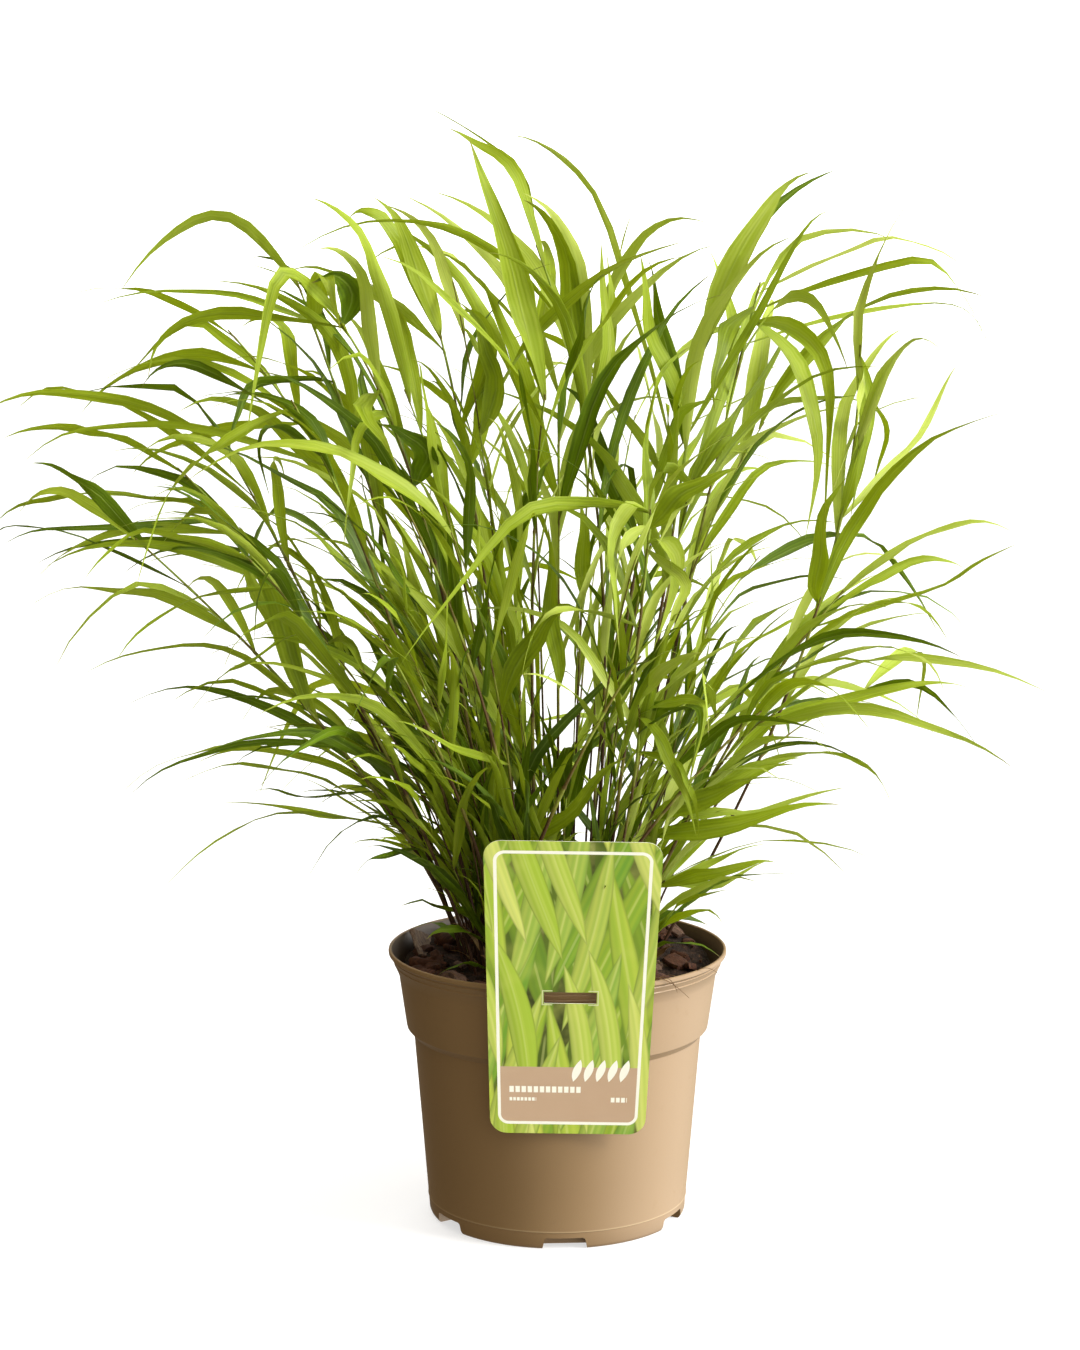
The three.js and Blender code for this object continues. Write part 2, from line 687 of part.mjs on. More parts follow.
// A leaf by rule: it leaves its stem to one side, rises, and arches over, the more the further out it is.
function ruledLeaf(run, share, hand, draws, tries) {
  const base = onStem(run, Math.min(LAST_SHARE, share + draws.between(-SHARE_STRAY, SHARE_STRAY)));
  const out = run[2].clone().sub(run[0]).setZ(0);
  const most = out.length() < UPRIGHT ? FACING_ALL_ROUND : FACING_MOST;
  const aside = hand * draws.between(FACING_LEAST, most) + draws.between(-FACING_TRY, FACING_TRY) * tries;
  const facing = Math.atan2(out.y, out.x) + rad(aside);
  const length = draws.between(...LEAF_LONG) * (1 - LEAF_SHRINK * tries);
  const rise = Math.asin(heading(run, share).z) - rad(draws.between(...LEAF_DROP));
  const outness = Math.min(1, Math.hypot(base.x, base.y) / FULL_FALL_OUT);
  const fall = rise - rad(draws.between(...LEAF_FALL)) * (FALL_LEAST + (1 - FALL_LEAST) * outness);
  const swing = facing + rad(draws.between(-LEAF_SWING, LEAF_SWING));
  const level = (angle) => new THREE.Vector3(Math.cos(angle), Math.sin(angle), 0);
  const reach = (angle, slope) => level(angle).multiplyScalar(Math.cos(slope)).setZ(Math.sin(slope));
  const half = base.clone().addScaledVector(reach(facing, rise), length / 2);
  const end = half.clone().addScaledVector(reach(swing, fall), length / 2);
  const width = length * draws.between(...LEAF_SLIM);
  return { run: [base, half, end], width, turn: hand * draws.between(...LEAF_TURN) };
}

// Leaves by rule keep their tips within the plant's own spread.
function isInside([, , tip]) {
  const highEnough = tip.z > LOW_TIP && tip.z < HIGH_TIP;
  return highEnough && tip.x > -LEFT_TIP && tip.x < RIGHT_TIP && Math.abs(tip.y) < DEEP_TIP;
}

function seedOf([first, perStem, perLeaf = 0], stem, leaf = 0) {
  return first + perStem * stem + perLeaf * leaf;
}

// The first of a leaf's seeded tries that is clear joins the blades of its stem. A leaf that never
// is clear doesn't grow.
function growLeaf(stem, make, seed) {
  const draws = new Draws(seed);
  for (let tries = 0; tries < LEAF_TRIES; tries++) {
    const leaf = make(draws, tries);
    if (!leaf || !isClear(bladeSolid(leaf, CLEARANCE), stem)) continue;
    const solid = bladeSolid(leaf);
    place(solid, stem, true);
    stem.blades.push(solid);
    return;
  }
}

const pot = potSolid();
const label = labelSolid();
place(pot, null, false);
place(label, null, false);

const stems = [];

function growStem(make, seed, leaves, shares) {
  const run = growRun(make, seed, stems.map((stem) => stem.run));
  const name = "stem_" + String(stems.length + 1).padStart(2, "0");
  const stem = { name, run, leaves, shares, solid: stemSolid(run), blades: [] };
  place(stem.solid, stem, false);
  stems.push(stem);
}

DRAWN.forEach((row, i) => {
  const make = (draws, tries) => drawnRun(row, draws, tries);
  growStem(make, seedOf(DRAWN_STEM_SEED, i), row[2], DRAWN_SHARES);
});
RULED.forEach((row, i) => {
  const make = (draws, tries) => ruledRun(row, draws, tries);
  growStem(make, seedOf(RULED_STEM_SEED, i), [], RULED_SHARES);
});
stems.forEach((stem, i) => {
  stem.leaves.forEach((row, k) => {
    const make = (draws, tries) => drawnLeaf(stem.run, row, draws, tries);
    growLeaf(stem, make, seedOf(DRAWN_LEAF_SEED, i, k));
  });
});
stems.forEach((stem, i) => {
  stem.shares.forEach((share, k) => {
    const hand = (i + k) % 2 === 0 ? 1 : -1;
    const make = (draws, tries) => {
      const leaf = ruledLeaf(stem.run, share, hand, draws, tries);
      return isInside(leaf.run) && leaf;
    };
    growLeaf(stem, make, seedOf(RULED_LEAF_SEED, i, k));
  });
});

// ---- Soil ----

// The pot's inner radius at a height along its body.
function innerRadius(z) {
  const share = (z - FLOOR_TOP) / (COLLAR_Z - FLOOR_TOP);
  return BODY_FOOT_R + (BODY_TOP_R - BODY_FOOT_R) * share - WALL;
}

// The soil fills the pot. Its top is flat at the crown and heaves a little round it, under the bark.
function soilSolid() {
  const draws = new Draws(SOIL_SEED);
  const bottom = FLOOR_TOP + SOIL_GAP;
  const rings = [
    [innerRadius(bottom) - SOIL_GAP, bottom],
    [BODY_TOP_R - WALL - SOIL_GAP, COLLAR_Z],
    [BODY_TOP_R + COLLAR_STEP - WALL - SOIL_GAP, COLLAR_Z + COLLAR_STEP],
    [COLLAR_TOP_R - WALL - SOIL_GAP, SOIL_Z - SOIL_EDGE_DROP],
    [SOIL_HEAVE_R, SOIL_Z, SOIL_HEAVE],
    [SOIL_FLAT_R, SOIL_Z],
  ];
  const loops = rings.map(([r, z, heave]) =>
    Array.from({ length: POT_SIDES }, (_, k) => {
      const angle = (2 * Math.PI * k) / POT_SIDES;
      const up = heave ? draws.between(...heave) : 0;
      return new THREE.Vector3(r * Math.cos(angle), r * Math.sin(angle), z + up);
    }),
  );
  let soil = solidOf(skin(loops, new THREE.Vector3(0, 0, SOIL_Z)));
  for (let i = 0; i < CHIPS; i++) {
    const long = draws.between(...CHIP_LONG);
    const wide = draws.between(...CHIP_WIDE);
    const angle = rad((360 / CHIPS) * i + draws.between(-CHIP_STRAY, CHIP_STRAY));
    const away = draws.between(...CHIP_AWAY);
    const chip = new THREE.BoxGeometry(long, wide, CHIP_THICK)
      .rotateX(rad(draws.between(-CHIP_ROLL, CHIP_ROLL)))
      .rotateY(rad(draws.between(-CHIP_PITCH, CHIP_PITCH)))
      .rotateZ(draws.between(0, Math.PI))
      .translate(away * Math.cos(angle), away * Math.sin(angle), SOIL_Z + CHIP_UP);
    soil = soil.add(solidOf(chip));
  }
  return stems.reduce((left, stem) => left.subtract(solidOf(stemHole(stem.run))), soil);
}

// ---- The plant in its pot ----

const pale = { roughness: 0.6, metalness: 0 };
const potFinish = new THREE.MeshStandardMaterial({ ...pale, color: 0xb59a70 });
const soilFinish = new THREE.MeshStandardMaterial({ ...pale, color: 0x2a1d12, roughness: 0.95 });
const labelFinish = new THREE.MeshStandardMaterial({ ...pale, color: 0x9dbb3c, roughness: 0.35 });
const leafFinish = new THREE.MeshStandardMaterial({ ...pale, color: 0x7fa32a, side: THREE.DoubleSide });

const plant = new THREE.Group();

function add(name, solid, material) {
  const mesh = new THREE.Mesh(geometryOf(solid), material);
  mesh.name = name;
  plant.add(mesh);
}

add("pot", pot, potFinish);
add("soil", soilSolid(), soilFinish);
add("label", label, labelFinish);
for (const stem of stems)
  add(stem.name, stem.blades.reduce((whole, blade) => whole.add(blade), stem.solid), leafFinish);

export default plant;
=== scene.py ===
"""Japanese forest grass in a three-litre nursery pot, with a plain printed label hooked on its rim.

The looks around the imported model. The growth and the sizes are written in millimetres, as the
solids' source has them, and meshes are made in metres. +Z is up and the label is at the front, -Y.
"""

import math
from functools import partial

import bmesh
import bpy
import numpy as np
from mathutils import Matrix, Vector, noise
from mathutils.kdtree import KDTree


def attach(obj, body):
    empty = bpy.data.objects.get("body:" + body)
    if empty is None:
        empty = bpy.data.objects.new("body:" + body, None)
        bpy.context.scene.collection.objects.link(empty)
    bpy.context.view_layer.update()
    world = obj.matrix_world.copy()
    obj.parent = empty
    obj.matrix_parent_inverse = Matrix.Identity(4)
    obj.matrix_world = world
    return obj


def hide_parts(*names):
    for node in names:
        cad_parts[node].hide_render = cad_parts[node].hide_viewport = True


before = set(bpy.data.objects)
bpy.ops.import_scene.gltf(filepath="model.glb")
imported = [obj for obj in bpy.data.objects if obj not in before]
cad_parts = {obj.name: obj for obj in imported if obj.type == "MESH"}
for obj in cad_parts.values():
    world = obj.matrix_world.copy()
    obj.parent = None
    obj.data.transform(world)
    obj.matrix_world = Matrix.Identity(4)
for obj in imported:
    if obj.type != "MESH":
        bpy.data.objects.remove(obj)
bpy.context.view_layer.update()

MM = 0.001
UP = np.array([0.0, 0.0, 1.0])

# ---- Camera ----
EYE = (-9.8, -1500.0, 519.4)
LOOK_DOWN = 8.10
SENSOR = 36.0
LENS = 72.77

# ---- Pot ----
RIM_R = 95.0
POT_H = 152.0
WALL = 2.0
FOOT_R = 71.0
FOOT_RING = 9.0
BODY_FOOT_R = 73.2
PARTING_Z = 10.0
BODY_TOP_R = 80.9
COLLAR_Z = 104.0
COLLAR_STEP = 4.0
COLLAR_TOP_R = 89.2
LIP_H = 14.0
FLOOR_UNDER = 3.5
FLOOR_TOP = 6.0
PAD_R = 12.0
POT_SIDES = 160
NOTCHES = 6
NOTCH_TURN = -87.0
NOTCH_BOTTOM = 27.0
NOTCH_TOP = 22.0
NOTCH_H = 6.5
DRAINS = 6
DRAIN_R = 48.0
DRAIN_HOLE_R = 5.0

# ---- Soil ----
SOIL_Z = 140.0
SOIL_GAP = 0.3
CROWN_R = 52.0
HOLE_DEPTH = 9.0

# ---- Label ----
CARD_TOP_W = 94.0
CARD_BOTTOM_W = 83.0
CARD_H = 169.0
CARD_FACE = 0.8
CARD_THICK = 0.5
CARD_CORNER = 9.0
CARD_LEAN = 10.3
CARD_TURN = 0.9
CARD_SHIFT = 6.3
CARD_HANG = 2.0
CARD_GAP = 0.3
WINDOW_W = 28.0
WINDOW_H = 6.5
WINDOW_UP = 80.0

# ---- Stems and leaves, as the solids have them ----
STEM_FOOT_R = 1.5
STEM_STEPS = 4
STEM_RISE = 2.0
STEM_TRIES = 60
CROWN_CORE = 0.15
FULL_LEAN = 190.0
DRAWN_LEAN = 1.6
DRAWN_STRAY = 3.0
RULED_STRAY = 4.0
RULED_TRY_STRAY = 2.0
RULED_REACH = (0.92, 1.08)
RULED_HEIGHT = (0.95, 1.05)
RULED_BOW = 0.1
RULED_LIFT = 0.06
LEAF_TRIES = 30
DRAWN_BACK = 4.0
DRAWN_SHARES = (0.36, 0.52, 0.66, 0.78)
RULED_SHARES = (0.46, 0.62, 0.76, 0.88, 0.98)
SHARE_STRAY = 0.03
LAST_SHARE = 0.98
LEAF_LONG = (105, 175)
LEAF_SLIM = (0.056, 0.078)
LEAF_SHRINK = 0.012
UPRIGHT = 70.0
FACING_LEAST = 8
FACING_MOST = 75
FACING_ALL_ROUND = 180
FACING_TRY = 2
LEAF_DROP = (2, 28)
LEAF_FALL = (25, 62)
FALL_LEAST = 0.35
FULL_FALL_OUT = 170.0
LEAF_SWING = 20
LEAF_TURN = (15, 70)
CARRY_STEPS = 6
ROOT_TURN = 0.7
TURNED_BY = 0.4
# The eye that the drawn places line up for.
GROWTH_EYE = np.array([-10.0, -1500.0, 520.0])

# A seed's first value, and what each further stem and leaf adds to it.
DRAWN_STEM_SEED = (101, 17)
RULED_STEM_SEED = (5003, 31)
DRAWN_LEAF_SEED = (20011, 97, 7)
RULED_LEAF_SEED = (40009, 197, 13)

# The stems drawn one by one: middle, end, and the leaves. A leaf is the share of its stem at which it
# starts, its middle, its tip, its width, and its turn in degrees. A place is across, up and behind.
DRAWN = [
    # left, long and low
    [[-110, 251, -25], [-233, 382, -40], [
      [0.62, [-164, 352, -40], [-181, 398, -55], 14, 70], [0.8, [-234, 352, -50], [-293, 353, -60], 11, 50],
      [0.98, [-258, 409, -45], [-288, 428, -50], 12.5, 65],
      [0.9, [-274, 385, -30], [-316, 386, -20], 7, 40]]],
    [[-125, 318, 25], [-183, 433, 40], [
      [0.98, [-250, 460, 45], [-316, 455, 50], 9, 55], [0.7, [-225, 380, 40], [-289, 374, 50], 8, 45],
      [0.85, [-240, 455, 60], [-297, 464, 80], 8, 50]]],
    [[-89, 325, -45], [-146, 458, -60], [
      [0.98, [-200, 420, -90], [-233, 364, -120], 12, 60],
      [0.86, [-160, 440, -90], [-158, 405, -110], 9, 30],
      [0.92, [-195, 474, -50], [-228, 471, -45], 8, 40]]],
    [[-78, 325, 10], [-143, 525, 20], [
      [0.98, [-189, 553, 25], [-240, 520, 30], 11, 65], [0.86, [-168, 461, -10], [-179, 421, -30], 10, 50],
      [0.93, [-128, 522, -40], [-118, 498, -90], 14, 10]]],
    [[-118, 302, 0], [-209, 421, 5], [
      [0.98, [-257, 440, 5], [-305, 441, 0], 9, 50], [0.9, [-262, 405, 15], [-312, 398, 20], 9, 50],
      [0.82, [-240, 385, -25], [-290, 362, -35], 9, 45]]],
    [[-104, 278, -55], [-172, 372, -80], [
      [0.98, [-220, 383, -100], [-262, 366, -120], 10, 50],
      [0.88, [-205, 345, -95], [-246, 318, -110], 9, 45],
      [0.75, [-170, 315, -100], [-205, 290, -125], 9, 40]]],
    [[-92, 352, 60], [-180, 496, 85], [
      [0.98, [-222, 515, 95], [-268, 517, 105], 7, 35], [0.9, [-215, 480, 100], [-262, 452, 120], 9, 50],
      [0.8, [-190, 440, 110], [-235, 425, 140], 10, 50]]],
    [[-68, 370, -25], [-120, 502, -35], [
      [0.97, [-196, 502, -20], [-224, 475, -15], 9, 50],
      [0.8, [-105, 452, -80], [-87, 425, -130], 14, 15]]],
    [[-39, 348, 0], [-65, 496, 5], [
      [0.98, [-91, 550, 5], [-114, 561, 0], 13, 78], [0.95, [-102, 517, 20], [-146, 535, 30], 9, 55],
      [0.72, [-39, 470, -10], [-54, 511, -15], 12, 80]]],
    # middle, tall
    [[-14, 340, -15], [-7, 461, -20], [
      [0.98, [-28, 543, -25], [-49, 600, -30], 14, 82]]],
    [[24, 370, 15], [-12, 542, 10], [
      [0.98, [-30, 587, 15], [-71, 615, 20], 6, 55], [0.7, [9, 530, 5], [-18, 573, 0], 12, 82],
      [0.86, [-64, 551, -10], [-146, 543, -30], 6, 30]]],
    [[40, 348, 35], [70, 436, 45], [
      [0.98, [58, 490, 45], [51, 540, 50], 12, 82], [0.6, [22, 436, 20], [4, 470, 20], 12, 80],
      [0.9, [18, 563, 70], [-27, 600, 60], 7, 60]]],
    [[58, 348, 10], [79, 487, 15], [
      [0.98, [101, 539, 20], [147, 588, 25], 13.5, 80], [0.8, [117, 520, 40], [144, 569, 60], 6, 60]]],
    # right, tall and arching over
    [[70, 345, 45], [110, 522, 50], [
      [0.98, [172, 541, 60], [227, 533, 60], 6, 25], [0.95, [190, 528, 30], [233, 499, 20], 7, 35],
      [0.9, [193, 509, 75], [235, 497, 90], 6, 25], [0.93, [142, 480, 0], [146, 385, -30], 12, 60],
      [0.88, [132, 513, -10], [159, 475, -40], 10, 40]]],
    [[138, 325, -5], [165, 488, -10], [
      [0.98, [166, 455, -40], [151, 410, -60], 9, 50], [0.92, [178, 440, 10], [171, 408, 25], 9, 60],
      [0.7, [197, 440, 30], [215, 480, 40], 7, 60]]],
    # right, low
    [[91, 258, 5], [158, 353, 10], [
      [0.98, [203, 383, 15], [252, 393, 20], 9, 55], [0.93, [195, 367, 30], [225, 368, 40], 8, 50],
      [0.88, [212, 357, -10], [252, 382, -15], 7, 45], [0.8, [180, 345, -20], [217, 331, -30], 7, 35],
      [0.72, [177, 328, -50], [210, 317, -70], 8, 35], [0.65, [135, 312, -30], [168, 334, -40], 12, 65]]],
    [[80, 238, -35], [121, 284, -50], [
      [0.98, [186, 313, -75], [275, 303, -90], 11, 50], [0.93, [177, 296, -45], [229, 306, -40], 9, 35],
      [0.86, [177, 283, -90], [255, 262, -110], 11, 45]]],
    [[45, 205, -20], [67, 231, -25], [
      [0.9, [106, 225, -45], [162, 240, -55], 10, 50], [0.98, [103, 249, -30], [134, 264, -35], 13, 62]]],
    [[52, 178, -15], [60, 189, -20], [
      [0.95, [88, 200, -20], [115, 214, -20], 7, 45], [0.8, [93, 189, -40], [121, 204, -50], 7, 50]]],
    # front middle
    [[42, 303, -40], [51, 398, -55], [
      [0.98, [-15, 390, -100], [-89, 313, -140], 12, 55], [0.92, [37, 362, -110], [34, 312, -125], 11, 20],
      [0.84, [68, 350, -100], [53, 322, -115], 9, 30], [0.62, [1, 340, -95], [-20, 312, -115], 8, 35]]],
    [[55, 320, 0], [75, 415, 5], [
      [0.96, [58, 417, -45], [50, 403, -90], 15, 10], [0.9, [72, 402, -50], [55, 385, -90], 13, 20],
      [0.98, [101, 456, 20], [131, 504, 35], 14, 78], [0.93, [100, 478, 45], [118, 511, 60], 10, 70]]],
    [[-21, 292, 10], [-25, 367, 15], [
      [0.98, [-17, 402, 15], [-4, 431, 20], 12, 82]]],
    [[60, 245, 15], [81, 297, 25], [
      [0.97, [85, 342, 25], [83, 387, 25], 9, 75]]],
    [[-30, 185, -25], [-25, 210, -30], [
      [0.97, [12, 227, -55], [33, 262, -65], 11, 62]]],
    [[41, 235, -50], [45, 289, -65], [
      [0.8, [76, 287, -100], [74, 255, -115], 8, 30], [0.7, [70, 249, -90], [79, 217, -105], 8, 35],
      [0.97, [59, 307, -85], [79, 322, -95], 14, 60]]],
    [[3, 200, -30], [5, 238, -35], [
      [0.97, [5, 259, -75], [4, 268, -115], 12, 5]]],
    # left, near the soil
    [[-70, 210, 0], [-112, 252, -5], [
      [0.98, [-180, 264, -15], [-245, 247, -20], 6, 30], [0.85, [-141, 238, 20], [-169, 245, 30], 6, 40]]],
    [[-62, 192, -20], [-95, 219, -30], [
      [0.98, [-143, 229, -30], [-189, 237, -30], 6, 25], [0.9, [-158, 224, -60], [-223, 188, -80], 6, 25],
      [0.8, [-108, 228, 5], [-142, 252, 20], 6, 45], [0.7, [-94, 204, -45], [-110, 200, -60], 6, 30]]],
]

# The stems that follow a rule: the way each leans, in degrees, how far out, and how high.
RULED = [
    [90, 60, 470], [66, 140, 430], [112, 140, 440], [132, 180, 360], [48, 180, 370], [86, 190, 350],
    [150, 130, 450], [28, 120, 440], [100, 100, 520], [75, 80, 500], [60, 200, 260], [122, 210, 270],
    [270, 30, 430], [240, 100, 400], [302, 105, 370], [222, 140, 330], [322, 130, 300], [196, 130, 280],
    [205, 90, 460], [345, 80, 420], [182, 60, 500], [96, 180, 240], [20, 190, 290],
]

# ---- Growth: the same draws and runs as the solids' ----


class Draws:
    """A seeded stream of draws from 0 to 1."""

    def __init__(self, seed):
        self.state = seed
        for _ in range(4):
            self.next()

    def next(self):
        self.state = self.state * 16807 % 2147483647
        return self.state / 2147483647

    def between(self, low, high):
        return low + (high - low) * self.next()


def seed_of(seeds, stem, leaf=0):
    first, per_stem, *per_leaf = seeds
    return first + per_stem * stem + (per_leaf[0] * leaf if per_leaf else 0)


def unit(v):
    return v / np.maximum(np.linalg.norm(v, axis=-1, keepdims=True), 1e-12)


def way_at(angle, slope=0.0):
    """The direction at an angle round from +X and a slope up from the level."""
    level = math.cos(slope)
    return np.array([math.cos(angle) * level, math.sin(angle) * level, math.sin(slope)])


def seen(point):
    """A point drawn in the plane across the plant's axis, at its real distance behind that plane."""
    across, up, behind = point
    drawn = np.array([across, 0.0, up])
    return (drawn - GROWTH_EYE) * (1 - behind / GROWTH_EYE[1]) + GROWTH_EYE


def along(run, t):
    """The points of a smooth run from start over middle to end, at shares t of its way."""
    start, middle, end = run
    bend = 2 * middle - 0.5 * start - 0.5 * end
    t = np.asarray(t, float)[..., None]
    return (1 - t) ** 2 * start + 2 * t * (1 - t) * bend + t * t * end


def heading(run, t):
    step = 0.01
    ahead = along(run, np.minimum(1, np.asarray(t) + step))
    return unit(ahead - along(run, np.maximum(0, np.asarray(t) - step)))


def level_side(run):
    """The level direction that points to the right of a run, seen along its way."""
    way = (run[2] - run[0]) * (1, 1, 0)
    if np.linalg.norm(way) < 1:
        way = np.array([0.0, -1.0, 0.0])
    return np.cross(unit(way), UP)


def carried_side(run, t):
    """The level side at a run's middle, carried along it to shares t without turning."""
    t = np.asarray(t, float)
    side = np.broadcast_to(level_side(run), t.shape + (3,))
    for i in range(CARRY_STEPS + 1):
        way = heading(run, 0.5 + (t - 0.5) * i / CARRY_STEPS)
        side = unit(side - way * np.sum(side * way, -1, keepdims=True))
    return side


def turned_about(v, axis, angle):
    """Vectors v turned about unit axes by angles."""
    cos, sin = np.cos(angle)[..., None], np.sin(angle)[..., None]
    along_axis = axis * np.sum(v * axis, -1, keepdims=True)
    return v * cos + np.cross(axis, v) * sin + along_axis * (1 - cos)


def on_stem(run, share):
    """The point of a solid stem's axis at a share of its run. It is straight from ring to ring."""
    step = min(STEM_STEPS - 1, math.floor(share * STEM_STEPS))
    low, high = along(run, step / STEM_STEPS), along(run, (step + 1) / STEM_STEPS)
    return low + (high - low) * (share * STEM_STEPS - step)


def foot_of(way, out):
    """Where a stem stands on the crown: the further it leans, the further out."""
    share = min(1, out / FULL_LEAN)
    foot = unit(way * (1, 1, 0)) * CROWN_R * (CROWN_CORE + (1 - CROWN_CORE) * share)
    foot[2] = SOIL_Z + STEM_RISE
    return foot


def drawn_run(row, draws, tries):
    shift = np.array([0.0, draws.between(-DRAWN_STRAY, DRAWN_STRAY) * tries, 0.0])
    end = seen(row[1]) + shift
    half = seen(row[0]) + 0.5 * shift
    return foot_of(half, DRAWN_LEAN * math.hypot(half[0], half[1])), half, end


def ruled_run(row, draws, tries):
    lean, out, high = row
    angle = math.radians(lean + draws.between(-1, 1) * (RULED_STRAY + RULED_TRY_STRAY * tries))
    reach = out * draws.between(*RULED_REACH)
    way = way_at(angle)
    foot = foot_of(way, out)
    end = way * reach
    end[2] = high * draws.between(*RULED_HEIGHT)
    half = foot + (end - foot) * 0.5 - RULED_BOW * reach * way
    half[2] += RULED_LIFT * high
    return foot, half, end


def drawn_leaf(run, row, draws, tries):
    share, middle, tip, width, turn = row
    aside = draws.between(-1, 1) * tries
    back = draws.between(-DRAWN_BACK, DRAWN_BACK) * tries
    half = seen(middle) + (0, back / 2, aside / 2)
    end = seen(tip) + (0, back, aside)
    return {"run": (on_stem(run, share), half, end), "share": share, "width": width, "turn": turn}


def ruled_leaf(run, share, hand, draws, tries):
    root = min(LAST_SHARE, share + draws.between(-SHARE_STRAY, SHARE_STRAY))
    base = on_stem(run, root)
    out = (run[2] - run[0])[:2]
    most = FACING_ALL_ROUND if math.hypot(*out) < UPRIGHT else FACING_MOST
    aside = hand * draws.between(FACING_LEAST, most)
    aside += draws.between(-FACING_TRY, FACING_TRY) * tries
    facing = math.atan2(out[1], out[0]) + math.radians(aside)
    length = draws.between(*LEAF_LONG) * (1 - LEAF_SHRINK * tries)
    rise = math.asin(heading(run, share)[2]) - math.radians(draws.between(*LEAF_DROP))
    outness = min(1.0, math.hypot(base[0], base[1]) / FULL_FALL_OUT)
    fall = rise - math.radians(draws.between(*LEAF_FALL)) * (FALL_LEAST + (1 - FALL_LEAST) * outness)
    swing = facing + math.radians(draws.between(-LEAF_SWING, LEAF_SWING))
    half = base + way_at(facing, rise) * length / 2
    end = half + way_at(swing, fall) * length / 2
    width = length * draws.between(*LEAF_SLIM)
    turn = hand * draws.between(*LEAF_TURN)
    return {"run": (base, half, end), "share": root, "width": width, "turn": turn}


class Corners:
    """The corners of a CAD node, in millimetres, which tell which of the seeded tries it was built from."""

    REACH = 0.05

    def __init__(self, node):
        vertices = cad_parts[node].data.vertices
        self.tree = KDTree(len(vertices))
        for i, vertex in enumerate(vertices):
            self.tree.insert(vertex.co / MM, i)
        self.tree.balance()

    def hold(self, point):
        return self.tree.find(Vector(point))[2] < self.REACH


def stem_foot_corner(run):
    """One corner of the solid stem's foot, down in its hole."""
    foot = run[0] + level_side(run) * STEM_FOOT_R
    foot[2] = SOIL_Z - HOLE_DEPTH + SOIL_GAP
    return foot


def grown_run(make, seed, corners):
    draws = Draws(seed)
    for tries in range(STEM_TRIES):
        run = make(draws, tries)
        if corners.hold(stem_foot_corner(run)):
            return run
    raise ValueError("a stem's solid isn't one of its tries")


def grown_leaf(make, seed, corners):
    """The try that the solids hold, or None for a leaf that they hold none of."""
    draws = Draws(seed)
    for tries in range(LEAF_TRIES):
        leaf = make(draws, tries)
        if corners.hold(leaf["run"][2]):
            return leaf
    return None


def grown_stems():
    """Each stem's run and leaves, by the name of its node."""
    rows = [(drawn_run, row, DRAWN_STEM_SEED, i) for i, row in enumerate(DRAWN)]
    rows += [(ruled_run, row, RULED_STEM_SEED, i) for i, row in enumerate(RULED)]
    stems = {}
    for n, (make_run, row, seeds, i) in enumerate(rows):
        name = f"stem_{n + 1:02d}"
        corners = Corners(name)
        run = grown_run(partial(make_run, row), seed_of(seeds, i), corners)
        is_drawn = make_run is drawn_run
        makes = [(partial(drawn_leaf, run, leaf), seed_of(DRAWN_LEAF_SEED, n, k))
                 for k, leaf in enumerate(row[2] if is_drawn else ())]
        makes += [(partial(ruled_leaf, run, share, -1 if (n + k) % 2 else 1), seed_of(RULED_LEAF_SEED, n, k))
                  for k, share in enumerate(DRAWN_SHARES if is_drawn else RULED_SHARES)]
        leaves = [grown_leaf(make, seed, corners) for make, seed in makes]
        stems[name] = (run, [leaf for leaf in leaves if leaf])
    return stems


# ---- Modelling: what the pieces share ----


def deselect():
    if bpy.context.object and bpy.context.object.mode != "OBJECT":
        bpy.ops.object.mode_set(mode="OBJECT")
    bpy.ops.object.select_all(action="DESELECT")


def primitive(kind, **settings):
    """A new mesh of one of the plain kinds."""
    deselect()
    getattr(bpy.ops.mesh, f"primitive_{kind}_add")(**settings)
    return bpy.context.object


def take(piece):
    """Select one piece alone and make it the active one."""
    deselect()
    piece.select_set(True)
    bpy.context.view_layer.objects.active = piece
    return piece


def shape(piece, kind="FACE"):
    """Edit mode on one piece, to select faces, edges or vertices in."""
    take(piece)
    bpy.ops.object.mode_set(mode="EDIT")
    bpy.ops.mesh.select_mode(type=kind)
    bpy.ops.mesh.select_all(action="DESELECT")


def pick(piece, test, kind="faces"):
    """Select in edit mode what the test holds for, and nothing else."""
    bpy.ops.mesh.select_all(action="DESELECT")
    mesh = bmesh.from_edit_mesh(piece.data)
    for item in getattr(mesh, kind):
        item.select_set(test(item))
    mesh.select_flush_mode()
    bmesh.update_edit_mesh(piece.data)


def middle_of(edge):
    return (edge.verts[0].co + edge.verts[1].co) / 2


def pick_all():
    bpy.ops.mesh.select_all(action="SELECT")


def extrude(x, y, z):
    bpy.ops.mesh.extrude_region_move(TRANSFORM_OT_translate={"value": (x, y, z)})


def resize(x, y, z, **settings):
    bpy.ops.transform.resize(value=(x, y, z), **settings)


def done():
    bpy.ops.object.mode_set(mode="OBJECT")


def closed(piece):
    """Leave edit mode with every face turned outward."""
    pick_all()
    bpy.ops.mesh.normals_make_consistent(inside=False)
    done()
    return piece


def placed(piece, matrix=Matrix.Identity(4)):
    """Put the piece's place in its mesh, and leave its object at the origin."""
    piece.data.transform(matrix @ piece.matrix_basis)
    piece.matrix_basis = Matrix.Identity(4)
    return piece


def copied(master, name):
    piece = master.copy()
    piece.data = master.data.copy()
    piece.name = name
    bpy.context.collection.objects.link(piece)
    return piece


def joined(pieces, name):
    deselect()
    for piece in pieces:
        piece.select_set(True)
    bpy.context.view_layer.objects.active = pieces[0]
    if len(pieces) > 1:
        bpy.ops.object.join()
    pieces[0].name = pieces[0].data.name = name
    return pieces[0]


